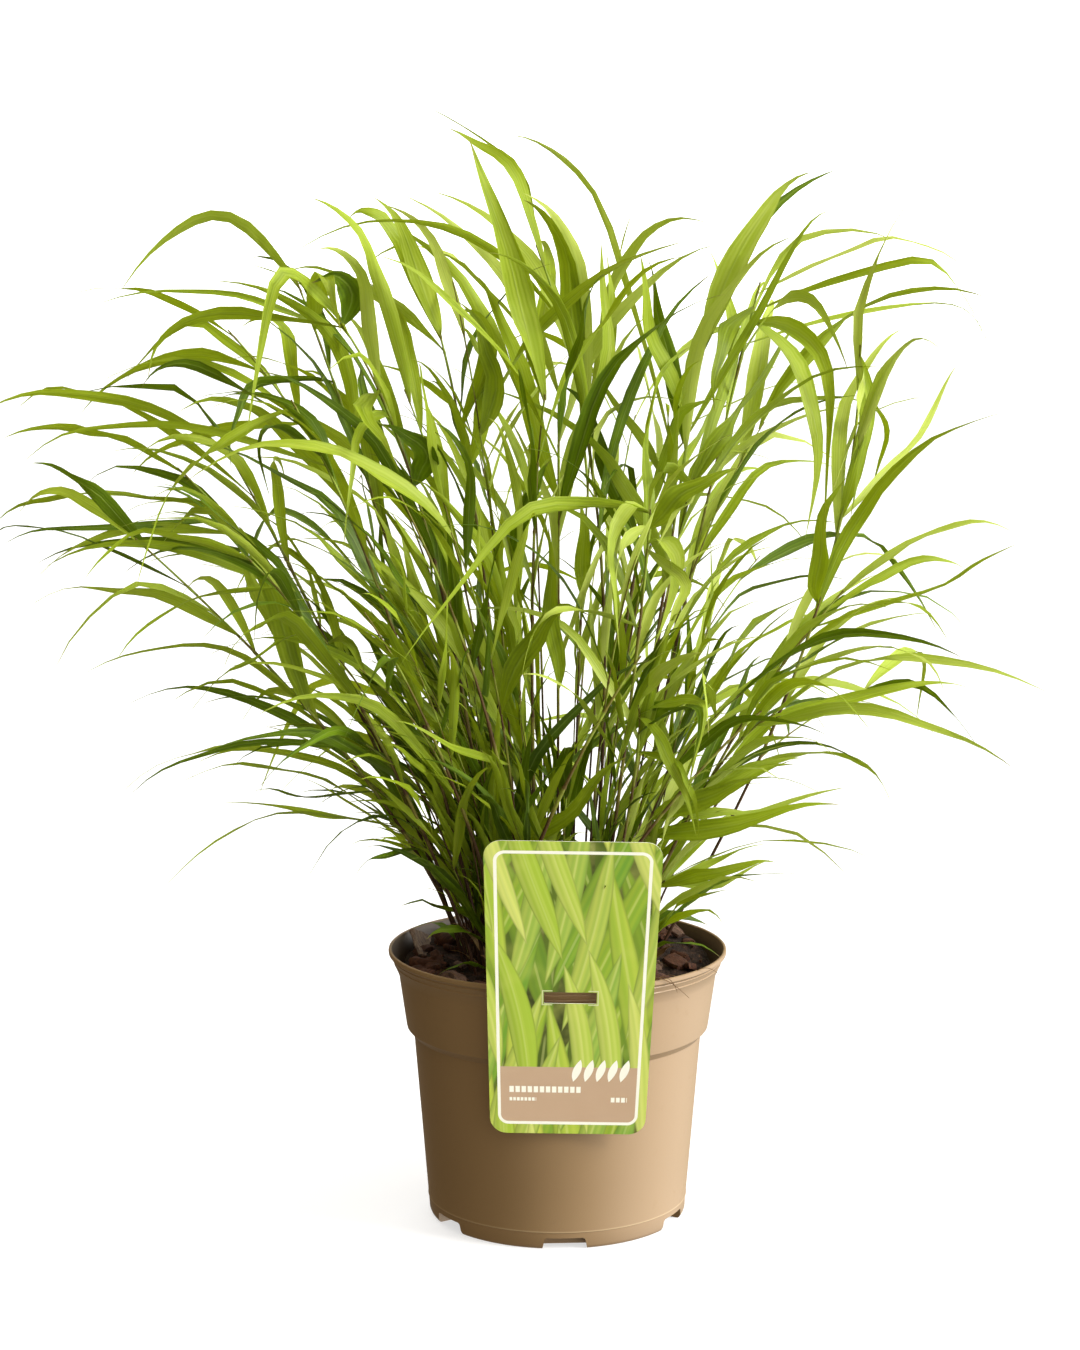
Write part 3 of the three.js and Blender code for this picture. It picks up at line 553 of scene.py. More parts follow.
def applied(piece, kind, settings):
    take(piece)
    modifier = piece.modifiers.new(kind.title(), kind)
    for key, value in settings.items():
        setattr(modifier, key, value)
    bpy.ops.object.modifier_apply(modifier=modifier.name)
    return piece


def smoothed(piece, degrees):
    take(piece)
    bpy.ops.object.shade_smooth_by_angle(angle=math.radians(degrees))
    return piece


def corners_of(mesh):
    points = np.empty(3 * len(mesh.vertices))
    mesh.vertices.foreach_get("co", points)
    return points.reshape(-1, 3)


def set_corners(mesh, points):
    mesh.vertices.foreach_set("co", np.asarray(points, float).ravel())
    mesh.update()


def set_uv(mesh, per_corner):
    """A UV map from one pair of numbers for each vertex."""
    layer = mesh.uv_layers.active or mesh.uv_layers.new(name="UVMap")
    loops = np.empty(len(mesh.loops), int)
    mesh.loops.foreach_get("vertex_index", loops)
    layer.data.foreach_set("uv", np.asarray(per_corner, float)[loops].ravel())


def set_attribute(mesh, name, values):
    """A number for each vertex, or one for all of them, which a finish reads by its name."""
    attribute = mesh.attributes.get(name) or mesh.attributes.new(name, "FLOAT", "POINT")
    attribute.data.foreach_set("value", np.broadcast_to(values, len(mesh.vertices)).astype(float))


def part_of(piece, slot, *nodes):
    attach(piece, "root")
    if nodes:
        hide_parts(*nodes)
    return piece


def turned(name, profile, sides):
    """A closed shell turned about the part's axis: each ring of the profile is extruded from the last."""
    (last_r, last_z), *rest = profile
    piece = primitive(
        "circle", vertices=sides, radius=last_r * MM, fill_type="NGON", location=(0, 0, last_z * MM))
    piece.name = name
    shape(placed(piece))
    pick_all()
    for r, z in rest:
        extrude(0, 0, (z - last_z) * MM)
        resize(r / last_r, r / last_r, 1, center_override=(0, 0, z * MM))
        last_r, last_z = r, z
    return closed(piece)


# ---- Finishes: shader maths ----


def srgb(red, green, blue):
    """A colour as seen, from 0 to 255, as the shaders have it."""
    def linear(c):
        c /= 255
        return c / 12.92 if c < 0.04045 else ((c + 0.055) / 1.055) ** 2.4
    return (linear(red), linear(green), linear(blue), 1.0)


def for_shader(colour):
    """A colour of three numbers is as seen. One of four, or a socket, is a shader's already."""
    return srgb(*colour) if isinstance(colour, (tuple, list)) and len(colour) == 3 else colour


class Value:
    """A socket of a node tree. Python's operators on it add Math nodes."""

    def __init__(self, nodes, socket):
        self.nodes = nodes
        self.socket = socket

    def math(self, operation, *values):
        return self.nodes.node("ShaderNodeMath", {"operation": operation}, dict(enumerate(values)))

    def __rsub__(self, other):
        return self.math("SUBTRACT", other, self)

    def rising(self, low, high):
        """0 below low, 1 above high, and smooth between them."""
        return self.nodes.node(
            "ShaderNodeMapRange", {"interpolation_type": "SMOOTHSTEP"}, {0: self, 1: low, 2: high})

    def falling(self, low, high):
        return 1 - self.rising(low, high)


def math_method(operation):
    return lambda value, *others: value.math(operation, value, *others)


for method, operation in {
        "__add__": "ADD", "__radd__": "ADD", "__sub__": "SUBTRACT", "__mul__": "MULTIPLY",
        "__rmul__": "MULTIPLY", "__truediv__": "DIVIDE", "__pow__": "POWER", "__abs__": "ABSOLUTE",
        "__lt__": "LESS_THAN", "__gt__": "GREATER_THAN", "sine": "SINE", "floor": "FLOOR",
        "fraction": "FRACT", "at_least": "MAXIMUM", "at_most": "MINIMUM"}.items():
    setattr(Value, method, math_method(operation))


class Nodes:
    """A node tree that works out what shows."""

    def __init__(self, tree):
        self.tree = tree

    def node(self, kind, settings=None, values=None, out=0):
        made = self.tree.nodes.new(kind)
        for key, value in (settings or {}).items():
            setattr(made, key, value)
        for key, value in (values or {}).items():
            self.feed(made.inputs[key], value)
        return Value(self, made.outputs[out])

    def feed(self, socket, value):
        if isinstance(value, Value):
            self.tree.links.new(value.socket, socket)
        else:
            socket.default_value = value

    def split(self, vector):
        parts = self.node("ShaderNodeSeparateXYZ", values={0: vector}).socket.node.outputs
        return [Value(self, part) for part in parts]

    def ramp(self, value, *stops):
        """Colours along a value. Each stop is its place and its colour."""
        shown = self.node("ShaderNodeValToRGB", values={0: value})
        elements = shown.socket.node.color_ramp.elements
        while len(elements) < len(stops):
            elements.new(1.0)
        for element, (place, *colour) in zip(elements, stops):
            element.position = place
            element.color = for_shader(colour)
        return shown


class Finish(Nodes):
    """A material."""

    def __init__(self, name, specular):
        self.material = bpy.data.materials.new(name)
        self.material.use_nodes = True
        super().__init__(self.material.node_tree)
        self.shader = self.tree.nodes["Principled BSDF"]
        self.paint(Specular_IOR_Level=specular)

    def paint(self, **values):
        """Feed the shader's own sockets, such as Base_Color."""
        for name, value in values.items():
            self.feed(self.shader.inputs[name.replace("_", " ")], value)
        return self.material

    def coated(self, colour, roughness, height, strength, distance):
        """The material, with a height for its bumps."""
        bumps = {"Strength": strength, "Distance": distance, "Height": height}
        normal = self.node("ShaderNodeBump", values=bumps)
        return self.paint(Base_Color=colour, Roughness=roughness, Normal=normal)

    def point(self):
        return self.node("ShaderNodeTexCoord", out="Object")

    def uv(self):
        return self.split(self.node("ShaderNodeTexCoord", out="UV"))

    def attribute(self, name):
        return self.node("ShaderNodeAttribute", {"attribute_name": name}, out="Fac")

    def vector(self, x, y, z=0.0):
        return self.node("ShaderNodeCombineXYZ", values={0: x, 1: y, 2: z})

    def noise(self, where, scale, detail=3.0, roughness=0.55):
        return self.node("ShaderNodeTexNoise", values={
            "Vector": where, "Scale": scale, "Detail": detail, "Roughness": roughness})

    def stretched(self, where, x, y, z):
        return self.node("ShaderNodeVectorMath", {"operation": "MULTIPLY"}, {0: where, 1: (x, y, z)})

    def chance(self, x, y=0.0):
        return self.node("ShaderNodeTexWhiteNoise", {"noise_dimensions": "2D"}, {"Vector": self.vector(x, y)})

    def mix(self, share, first, second):
        colours = {"Factor": share, 6: for_shader(first), 7: for_shader(second)}
        return self.node("ShaderNodeMix", {"data_type": "RGBA"}, colours, out=2)

    def let_through(self, colour, share):
        """Mix in light that comes through from behind."""
        clear = self.node("ShaderNodeBsdfTranslucent", values={"Color": for_shader(colour)})
        mixed = self.node("ShaderNodeMixShader", values={
            0: share, 1: Value(self, self.shader.outputs[0]), 2: clear})
        self.feed(self.tree.nodes["Material Output"].inputs[0], mixed)
        return self.material


# ---- Finishes: the pieces' own ----

VEINS = 6


def leaf_finish(name, stops, through, share):
    """A grass blade: long veins, a pale midrib and edges, lightened in part as painted highlights, mottled
    green, and a tip that has gone dry.
    """
    f = Finish(name, 0.24)
    across, along_it, _ = f.uv()
    where = f.point()
    wander = f.noise(f.stretched(where, 1, 1, 0.4), 45, 1)
    veins = ((across + 0.02 * wander) * (VEINS * math.tau)).sine()
    streaks = f.noise(f.vector(across * 2.4, along_it * 1.3, f.attribute("tint") * 40), 1.6, 1.5)
    mottle = f.noise(where, 38, 2)
    rib = abs(across - 0.5).falling(0.012, 0.05)
    edge = abs(across - 0.5).rising(0.44, 0.5)
    green = f.attribute("tint") + 0.24 * (mottle - 0.5) + 0.85 * (streaks - 0.5) + 0.08 * veins
    colour = f.ramp(green, *stops)
    # the pale midrib and edges: their own colour, lightened further as a painted highlight
    colour = f.mix(rib * 0.4, colour, (166, 184, 92))
    colour = f.mix(edge * 0.2, colour, (168, 180, 96))
    neck = along_it.falling(0.0, 0.06)
    colour = f.mix(neck * 0.55, colour, (122, 126, 60))
    dry = along_it.rising(0.9, 1.0) * f.attribute("dry")
    colour = f.mix(dry, colour, (150, 128, 84))
    height = 0.4 * veins + 1.6 * rib + 1.2 * streaks
    f.coated(colour, 0.38 + 0.14 * mottle + 0.2 * dry, height, 0.25, 0.0003)
    return f.let_through(through, share)


def culm_finish():
    """A thin culm: purple-brown below, greener above, with straw sheaths that end at its nodes."""
    f = Finish("culm", 0.25)
    _, along_it, _ = f.uv()
    where = f.point()
    grain = f.noise(f.stretched(where, 1, 1, 0.12), 900, 2)
    patches = f.noise(where, 60, 2)
    skin = f.ramp(
        along_it + 0.35 * (patches - 0.5),
        (0.1, 62, 40, 26), (0.5, 84, 62, 32), (0.85, 112, 106, 38))
    sheath = f.ramp(
        along_it + 0.5 * (patches - 0.5),
        (0.1, 122, 98, 54), (0.5, 124, 126, 48), (0.9, 140, 160, 52))
    colour = f.mix(f.attribute("sheath") * patches.rising(0.34, 0.55), skin, sheath)
    colour = f.mix(grain.rising(0.5, 0.8) * 0.3, colour, (38, 24, 18))
    return f.coated(colour, 0.45 + 0.2 * grain, grain, 0.3, 0.0003)


def husk_finish():
    """Old sheaths at the crown: straw and brown, streaked along."""
    f = Finish("dry_husk", 0.25)
    across, along_it, _ = f.uv()
    streaks = f.noise(f.vector(across * 8, along_it, f.attribute("tint") * 30), 2.5, 3)
    colour = f.ramp(
        streaks + 0.4 * (f.attribute("tint") - 0.5),
        (0.25, 72, 48, 30), (0.5, 132, 104, 66), (0.75, 186, 162, 112))
    f.coated(colour, 0.7 + 0.2 * streaks, streaks, 0.5, 0.0005)
    return f.let_through((190, 150, 90), 0.2)


def pot_finish():
    """Moulded plastic, satin, with faint flow marks, a little dust, a painted highlight along the parting
    ridge and painted shade inside the lip.
    """
    f = Finish("pot_plastic", 0.75)
    where = f.point()
    x, y, height = f.split(where)
    clouds = f.noise(f.stretched(where, 1, 1, 0.35), 14, 3)
    grain = f.noise(where, 1500, 2)
    dust = f.noise(where, 90, 4, 0.65).rising(0.58, 0.78)
    colour = f.mix(clouds, (132, 105, 68), (140, 112, 75))
    colour = f.mix(height.falling(0.0, 0.014) * 0.22, colour, (114, 84, 50))
    colour = f.mix(dust * 0.12, colour, (124, 100, 70))
    # painted highlight: a light line along the parting ridge
    painted_ridge_highlight = abs(height - PARTING_Z * MM).falling(0.0002, 0.0006)
    colour = f.mix(painted_ridge_highlight * 0.4, colour, (188, 164, 126))
    # painted shade: the inside of the lip, above the collar, is painted near black-brown as if in shadow
    lean = (RIM_R - COLLAR_TOP_R) / LIP_H
    wall = (COLLAR_TOP_R - lean * (POT_H - LIP_H)) * MM + height * lean
    deep = wall - (x * x + y * y) ** 0.5
    below_edge = (height + 0.0015 * clouds).falling((POT_H - 0.8) * MM, (POT_H + 0.4) * MM)
    painted_inside_shade = deep.rising(1.0 * MM, 1.7 * MM) * below_edge
    colour = f.mix(painted_inside_shade * (height > COLLAR_Z * MM) * 0.86, colour, (44, 31, 20))
    return f.coated(colour, 0.4 + 0.1 * grain + 0.12 * dust, grain + 2 * clouds, 0.12, 0.0002)


def soil_finish():
    f = Finish("potting_soil", 0.25)
    where = f.point()
    lumps = f.noise(where, 160, 5, 0.7)
    fibres = f.noise(f.stretched(where, 1, 0.2, 1), 600, 3)
    colour = f.ramp(lumps, (0.3, 18, 11, 8), (0.52, 38, 25, 17), (0.72, 76, 50, 34))
    colour = f.mix(fibres.rising(0.62, 0.75) * 0.5, colour, (118, 88, 60))
    return f.coated(colour, 0.8 + 0.15 * lumps, lumps + fibres, 0.9, 0.002)


def bark_finish():
    """Bark: brown to red-brown, with a torn grain. Its tint runs from dark and wet to grey and dry."""
    f = Finish("bark", 0.3)
    across, along_it, _ = f.uv()
    where = f.point()
    grain = f.noise(f.vector(across * 7, along_it * 1.2, f.attribute("tint") * 60), 3.0, 5, 0.65)
    spots = f.noise(where, 220, 3)
    wet = f.ramp(grain, (0.3, 32, 18, 12), (0.55, 82, 48, 30), (0.8, 140, 94, 64))
    grey = f.ramp(grain, (0.3, 70, 56, 46), (0.55, 120, 98, 80), (0.8, 158, 136, 114))
    colour = f.mix(f.attribute("tint").rising(0.6, 0.9), wet, grey)
    colour = f.mix(spots.rising(0.55, 0.7) * 0.5, colour, (36, 24, 18))
    return f.coated(colour, 0.62 + 0.25 * grain, grain + spots, 0.8, 0.0015)


def card_edge_finish():
    f = Finish("card_stock", 0.4)
    grain = f.noise(f.point(), 800, 2)
    colour = f.mix(grain, (228, 228, 204), (240, 240, 220))
    return f.coated(colour, 0.42 + 0.1 * grain, grain, 0.1, 0.0002)


# ---- The label's print: a plain pattern of long leaves, a frame line and a bare panel ----

# Each layer of long leaves, from the back to the front: the way it leans, in degrees, the length
# and width of a leaf, where it bends, and its two greens.
PRINT_LAYERS = (
    (8, 150, 21, 3.0, (98, 120, 34), (74, 94, 24)),
    (-16, 120, 20, -3.0, (140, 170, 44), (98, 136, 40)),
    (19, 130, 19, 5.0, (182, 202, 58), (114, 160, 48)),
    (-6, 160, 22, -4.5, (160, 192, 58), (206, 216, 86)),
    (13, 116, 17, 3.5, (206, 216, 96), (124, 170, 62)),
    (-12, 104, 15, 6.0, (226, 232, 128), (170, 198, 62)),
)

# The print's size, which goes past the card's edges. The frame line is an oblong with round corners.
PRINT_W, PRINT_H = 100, 180
PRINT_HALF_W = 44.3
FRAME_SIDE, FRAME_END, FRAME_CORNER, FRAME_LINE = 33.8, 73.2, 5, 0.85
PANEL_TOP = 39.5
# The rows of plain marks on the panel: left, right, low, high, and from mark to mark.
MARKS = ((-33, 7, 24.4, 28.0, 3.4), (-33, -18, 19.4, 21.4, 2.1), (24, 33, 19.0, 21.8, 2.9))
MARK_SHARE = 0.72
# The leaf shapes over the panel's top edge.
SPRIGS, SPRIG_FIRST, SPRIG_PITCH, SPRIG_LEAN = 5, 4.5, 6.6, 0.3
SPRIG_UP, SPRIG_HALF_H, SPRIG_HALF_W = 37.5, 6.5, 2.3


def leaf_layer(f, x, y, number, layer):
    """The share of one layer of leaves that shows, and its colour."""
    lean, length, width, bend, first, second = layer
    cos, sin = math.cos(math.radians(lean)), math.sin(math.radians(lean))
    up = x * sin + y * cos
    side = x * cos - y * sin + bend * (up * (math.tau / (2.3 * length)) + number).sine()
    column = (side / width + 0.37 * number).floor()
    luck = f.chance(column, number + 3.0)
    step = up / length + luck * 1.7
    row = step.floor()
    cell_luck = f.chance(column * 7.0 + row, number + 11.0)
    t = step.fraction() * 2 - 1
    s = ((side / width + 0.37 * number).fraction() - 0.5) * 2
    room = (1 - abs(t) ** 2.2).at_least(0.0) * (0.62 + 0.36 * cell_luck)
    gap = room - abs(s)
    shows = gap.rising(0.0, 0.09) * (cell_luck > 0.24)
    veins = (s * 15 + cell_luck * 9).sine() * 0.12
    colour = f.mix((cell_luck + veins + 0.175 * s).at_most(1.0), first, second)
    colour = f.mix(abs(s).falling(0.03, 0.1) * 0.3, colour, (222, 228, 140))
    colour = f.mix(s.falling(-0.9, 0.2) * 0.34, colour, (86, 104, 30))
    colour = f.mix(gap.falling(0.02, 0.2) * 0.5, colour, (80, 100, 30))
    return shows, colour


def print_finish():
    f = Finish("label_print", 0.45)
    across, up, _ = f.uv()
    x = (across - 0.5) * PRINT_W
    y = (up - 0.5) * PRINT_H
    above = y + CARD_H / 2
    # the leaves
    shade = f.noise(f.vector(x, y), 0.07, 3)
    colour = f.ramp(shade, (0.35, 58, 66, 20), (0.6, 104, 112, 48), (0.75, 150, 156, 96))
    for number, layer in enumerate(PRINT_LAYERS):
        shows, leaves = leaf_layer(f, x, y, number, layer)
        colour = f.mix(shows, colour, leaves)
    bright = f.noise(f.vector(x, y), 0.035, 2)
    colour = f.mix(bright.rising(0.5, 0.75) * 0.3, colour, (206, 214, 104))
    # the panel, inside the frame at the foot, with plain marks on it
    wide = CARD_BOTTOM_W / 2 + (CARD_TOP_W - CARD_BOTTOM_W) / 2 * (y / CARD_H + 0.5)
    inner = x / wide * PRINT_HALF_W
    from_side = (abs(inner) - FRAME_SIDE).at_least(0.0)
    from_end = (abs(y) - FRAME_END).at_least(0.0)
    out = (from_side * from_side + from_end * from_end) ** 0.5 - FRAME_CORNER
    panel = (out < 0) * (above < PANEL_TOP)
    colour = f.mix(panel, colour, f.mix(shade, (194, 164, 134), (201, 173, 144)))
    cream = (252, 252, 236)
    for left, right, low, high, pitch in MARKS:
        block = (inner > left) * (inner < right) * (above > low) * (above < high)
        colour = f.mix(block * (((inner - left) / pitch).fraction() < MARK_SHARE), colour, cream)
    for number in range(SPRIGS):
        lean = inner - (SPRIG_FIRST + SPRIG_PITCH * number) - SPRIG_LEAN * (above - SPRIG_UP)
        sprig = abs(lean) < (1 - abs((above - SPRIG_UP) / SPRIG_HALF_H) ** 2) * SPRIG_HALF_W
        colour = f.mix(sprig, colour, cream)
    # the frame line, and the pale cuts at the window's corners
    colour = f.mix(abs(out) < FRAME_LINE, colour, cream)
    from_window = abs(y - (WINDOW_UP - CARD_H / 2)) - WINDOW_H / 2
    beside = abs(x) - WINDOW_W / 2
    cut = abs(from_window.at_least(beside) - 0.75) < 0.3
    colour = f.mix(cut * (abs(x) > 9.5), colour, (206, 214, 160))
    grain = f.noise(f.point(), 900, 2)
    sheen = f.noise(f.point(), 25, 2)
    return f.coated(
        colour, 0.3 + 0.08 * grain + 0.06 * sheen, grain * 0.2 + sheen * 3, 0.08, 0.0006)


# ---- Pot ----

PARTING_RIDGE = 0.25
LIP_LINES = (144.2, 147.6)
LIP_LINE_R = 0.22


def pot_profile():
    """Radius and height: from the middle of the underside, up outside, and down inside."""
    lip_z = POT_H - LIP_H
    lean = (RIM_R - COLLAR_TOP_R) / LIP_H
    body = [(BODY_FOOT_R + (BODY_TOP_R - BODY_FOOT_R) * t,
             PARTING_Z + (COLLAR_Z - PARTING_Z) * t) for t in (0.02, 0.25, 0.5, 0.75, 0.96)]
    step_r, step_z = BODY_TOP_R + COLLAR_STEP, COLLAR_Z + COLLAR_STEP
    collar = [(step_r + (COLLAR_TOP_R - step_r) * t, step_z + (lip_z - step_z) * t)
              for t in (0.04, 0.35, 0.7, 0.97)]
    lip = []
    for z in LIP_LINES:
        r = COLLAR_TOP_R + lean * (z - lip_z)
        lip += [(r - 0.05, z - 0.4), (r + LIP_LINE_R, z - 0.1), (r + LIP_LINE_R, z + 0.15), (r, z + 0.5)]
    return [
        (PAD_R, 0.0), (PAD_R + 1.5, FLOOR_UNDER), (FOOT_R - FOOT_RING - 1.5, FLOOR_UNDER),
        (FOOT_R - FOOT_RING, 0.0), (FOOT_R - 0.3, 0.0), (FOOT_R + 0.4, 0.3), (FOOT_R + 1.1, 1.2),
        (FOOT_R + 1.6, 2.5), (BODY_FOOT_R - 0.1, PARTING_Z - 0.6),
        (BODY_FOOT_R + PARTING_RIDGE, PARTING_Z - 0.25), (BODY_FOOT_R + PARTING_RIDGE, PARTING_Z + 0.1),
        *body,
        (BODY_TOP_R + 0.05, COLLAR_Z - 0.3), (BODY_TOP_R + 0.6, COLLAR_Z + 0.4),
        (step_r - 0.7, step_z - 0.8), (step_r - 0.1, step_z - 0.1),
        *collar,
        (COLLAR_TOP_R + 0.25, lip_z + 0.5),
        *lip,
        (RIM_R - 0.12, POT_H - 2.4), (RIM_R, POT_H - 1.3),
        (RIM_R - 0.2, POT_H - 0.4), (RIM_R - 0.65, POT_H), (RIM_R - 1.35, POT_H),
        (RIM_R - 1.8, POT_H - 0.4), (RIM_R - 2.1, POT_H - 1.6),
        (COLLAR_TOP_R - WALL, lip_z), (step_r - WALL, step_z), (BODY_TOP_R - WALL, COLLAR_Z),
        (BODY_TOP_R - WALL - 3.8, COLLAR_Z / 2), (BODY_FOOT_R - WALL, FLOOR_TOP),
    ]


def notch_cutter():
    """The wedge that cuts one notch in the foot, made at the +Y side."""
    piece = primitive("cube", size=1)
    shape(piece)
    pick_all()
    resize(NOTCH_BOTTOM * MM, 30 * MM, 2 * NOTCH_H * MM)
    pick(piece, lambda face: face.normal.z > 0.9)
    resize(NOTCH_TOP / NOTCH_BOTTOM, 1, 1)
    pick(piece, lambda edge: all(v.co.z > 0 for v in edge.verts) and abs(middle_of(edge).x) > 5 * MM, "edges")
    bpy.ops.mesh.bevel(offset=1.6 * MM, segments=4)
    done()
    return placed(piece, Matrix.Translation((0, (FOOT_R + 6) * MM, 0)))


def drain_cutter():
    piece = primitive(
        "cylinder", vertices=24, radius=DRAIN_HOLE_R * MM, depth=20 * MM, location=(DRAIN_R * MM, 0, 0))
    shape(piece, "EDGE")
    pick(piece, lambda edge: middle_of(edge).z > 9 * MM, "edges")
    bpy.ops.mesh.bevel(offset=0.5 * MM, segments=1)
    done()
    return placed(piece)


def around(master, first, count, name):
    """Copies of a cutter round the axis, joined in one piece."""
    turns = [copied(master, name) for _ in range(count)]
    for i, piece in enumerate(turns):
        placed(piece, Matrix.Rotation(math.radians(first + 360 / count * i), 4, "Z"))
    bpy.data.objects.remove(master)
    return joined(turns, name)


def make_pot():
    pot = turned("moulded_pot", pot_profile(), POT_SIDES)
    notches = around(notch_cutter(), NOTCH_TURN - 90, NOTCHES, "notches")
    drains = around(drain_cutter(), NOTCH_TURN + 180 / DRAINS, DRAINS, "drains")
    for cutter in (notches, drains):
        applied(pot, "BOOLEAN", {"operation": "DIFFERENCE", "solver": "EXACT", "object": cutter})
        bpy.data.objects.remove(cutter)
    smoothed(pot, 26)
    pot.data.materials.append(pot_finish())
    return part_of(pot, "pot", "pot")


# ---- Soil ----

# This seeds the draws and the noise that buckles the flakes.
SOIL_SEED = 77
SOIL_PROFILE = (
    (70.9, 6.3), (78.6, 104.0), (82.6, 108.0), (86.9, 138.0), (84.5, 138.4), (81.5, 139.0),
    (78.0, 139.6), (74.5, 140.2), (71.0, 140.5), (67.5, 140.6), (64.0, 140.4), (60.0, 140.2),
    (55.0, 140.4), (50.0, 141.0), (44.0, 141.8), (37.0, 142.4), (29.0, 142.8), (20.0, 143.0), (10.0, 143.0),
)
SOIL_LUMP = 1.7
BACK_HEAP, HEAP_FROM, HEAP_RUN = 9.0, -8, 50
# The bark: how many flakes, small flakes and crumbs, and what they are drawn between: length and width,
# how far out, and slants (in degrees for the large ones, else in radians). Some first draws are passed.
CHIPS, CHIP_LONG, CHIP_WIDE, CHIP_THICK = 12, (12, 22), (7, 12), 4.4
CHIP_SKIP, CHIP_AWAY, CHIP_UP, CHIP_ROLL, CHIP_PITCH = 32, (66, 73), 1.6, (-14, 14), (-10, 10)
SMALL_CHIPS, SMALL_LONG, SMALL_R, SMALL_SLANTS = 70, (5, 13), 84, ((-0.5, 0.5), (-0.4, 0.4), (0, math.tau))
CRUMBS, CRUMB_SIZE, CRUMB_R = 150, (1.2, 4.2), 85


def heap_at(y):
    """How much higher the soil lies towards the back."""
    return BACK_HEAP * min(1.0, max(0.0, (y - HEAP_FROM) / HEAP_RUN))


def make_bed():
    """The soil as one body that fills the pot, its top lumpy."""
    bed = turned("soil_bed", SOIL_PROFILE, 120)
    points = corners_of(bed.data)
    for i, (x, y, z) in enumerate(points / MM):
        if z < 137:
            continue
        here = Vector((x, y, z))
        lumps = noise.fractal(here / 9, 0.9, 2.2, 4) + 0.8 * noise.noise(here / 4)
        fade = min(1.0, (89.5 - math.hypot(x, y)) / 6)
        points[i, 2] = (z + heap_at(y) + SOIL_LUMP * lumps * fade) * MM
    set_corners(bed.data, points)
    set_uv(bed.data, points[:, :2] * 5 + 0.5)
    set_attribute(bed.data, "tint", 0.5)
    bed.data.materials.append(soil_finish())
    return smoothed(bed, 70)


def on_bed(away, angle, up):
    """A place on the soil."""
    x, y = away * math.cos(angle), away * math.sin(angle)
    return x, y, SOIL_Z + heap_at(y) + up


def chip_master(number):
    """A torn flake of bark, 1 long, with a bevelled, buckled edge."""
    piece = primitive("cube", size=1)
    shape(piece)
    pick_all()
    bpy.ops.mesh.subdivide(number_cuts=2)
    pick(piece, lambda face: abs(face.normal.z) > 0.9)
    resize(0.86, 0.8, 1)
    done()
    points = corners_of(piece.data)
    for i, (x, y, z) in enumerate(points):
        here = Vector((x * 2.1 + 9 * number, y * 2.1, z))
        points[i] += np.array(noise.noise_vector(here)) * (0.2, 0.26, 0.22)
        points[i, 2] += 0.35 * math.sin(2.2 * x + number) - 0.6 * x * y
    set_corners(piece.data, points)
    set_uv(piece.data, points[:, [1, 0]] + 0.5)
    return smoothed(piece, 50)


def make_soil():
    noise.seed_set(SOIL_SEED)
    bark = bark_finish()
    masters = [chip_master(number) for number in range(3)]
    crumb = smoothed(primitive("ico_sphere", subdivisions=1, radius=0.5), 40)
    set_uv(crumb.data, corners_of(crumb.data)[:, :2] + 0.5)
    pieces = [make_bed()]

    def lay(master, size, place, roll, pitch, turn, tint):
        chip = copied(master, "chip")
        put = Matrix.Translation(Vector(place) * MM)
        for angle, axis in ((turn, "Z"), (pitch, "Y"), (roll, "X")):
            put = put @ Matrix.Rotation(angle, 4, axis)
        placed(chip, put @ Matrix.Diagonal((*(side * MM for side in size), 1)))
        set_attribute(chip.data, "tint", tint)
        chip.data.materials.append(bark)
        pieces.append(chip)

    draws = Draws(SOIL_SEED)
    for _ in range(CHIP_SKIP):
        draws.next()
    for i in range(CHIPS):
        long, wide = draws.between(*CHIP_LONG), draws.between(*CHIP_WIDE)
        angle = math.radians(360 / CHIPS * i + draws.between(-8, 8))
        away = draws.between(*CHIP_AWAY)
        roll, pitch = (math.radians(draws.between(*slant)) for slant in (CHIP_ROLL, CHIP_PITCH))
        turn = draws.between(0, math.pi)
        lay(masters[i % 3], (long * 1.08, wide * 1.1, CHIP_THICK), on_bed(away, angle, CHIP_UP),
            roll, pitch, turn, draws.between(0.1, 0.75))
    draws = Draws(SOIL_SEED + 1)
    for i in range(SMALL_CHIPS):
        away, angle = SMALL_R * math.sqrt(draws.between(0.4, 0.93)), draws.between(0, math.tau)
        long = draws.between(*SMALL_LONG)
        place = on_bed(away, angle, 1.3 + draws.between(-0.8, 1.6))
        size = (long, long * draws.between(0.35, 0.65), draws.between(1.6, 3.2))
        lay(masters[i % 3], size, place, *(draws.between(*slant) for slant in SMALL_SLANTS),
            draws.between(0, 0.85))
    # one long grey flake that leans on the wall at the back left
    lay(masters[0], (30, 15, 3.4), (-76, 24, SOIL_Z + 5.5), 0.5, -0.32, 1.9, 0.95)
    for _ in range(CRUMBS):
        away, angle = CRUMB_R * math.sqrt(draws.between(0.25, 0.98)), draws.between(0, math.tau)
        size = draws.between(*CRUMB_SIZE)
        place = on_bed(away, angle, draws.between(-0.5, 1.2))
        sizes = (size, size * draws.between(0.5, 1), size * draws.between(0.4, 0.8))
        lay(crumb, sizes, place, draws.between(0, 3), draws.between(0, 3), 0, draws.between(0, 0.7))
    for master in (*masters, crumb):
        bpy.data.objects.remove(master)
    return part_of(joined(pieces, "mulched_soil"), "soil", "soil")


# ---- Label ----

# The tongue's way from the window's upper edge: up along the card, and behind it, over the lip.
TONGUE = ((0.5, -0.7), (1.5, -0.8), (0.35, -0.7), (-0.7, -4.0), (-0.8, -0.6), (-2.2, -0.2))


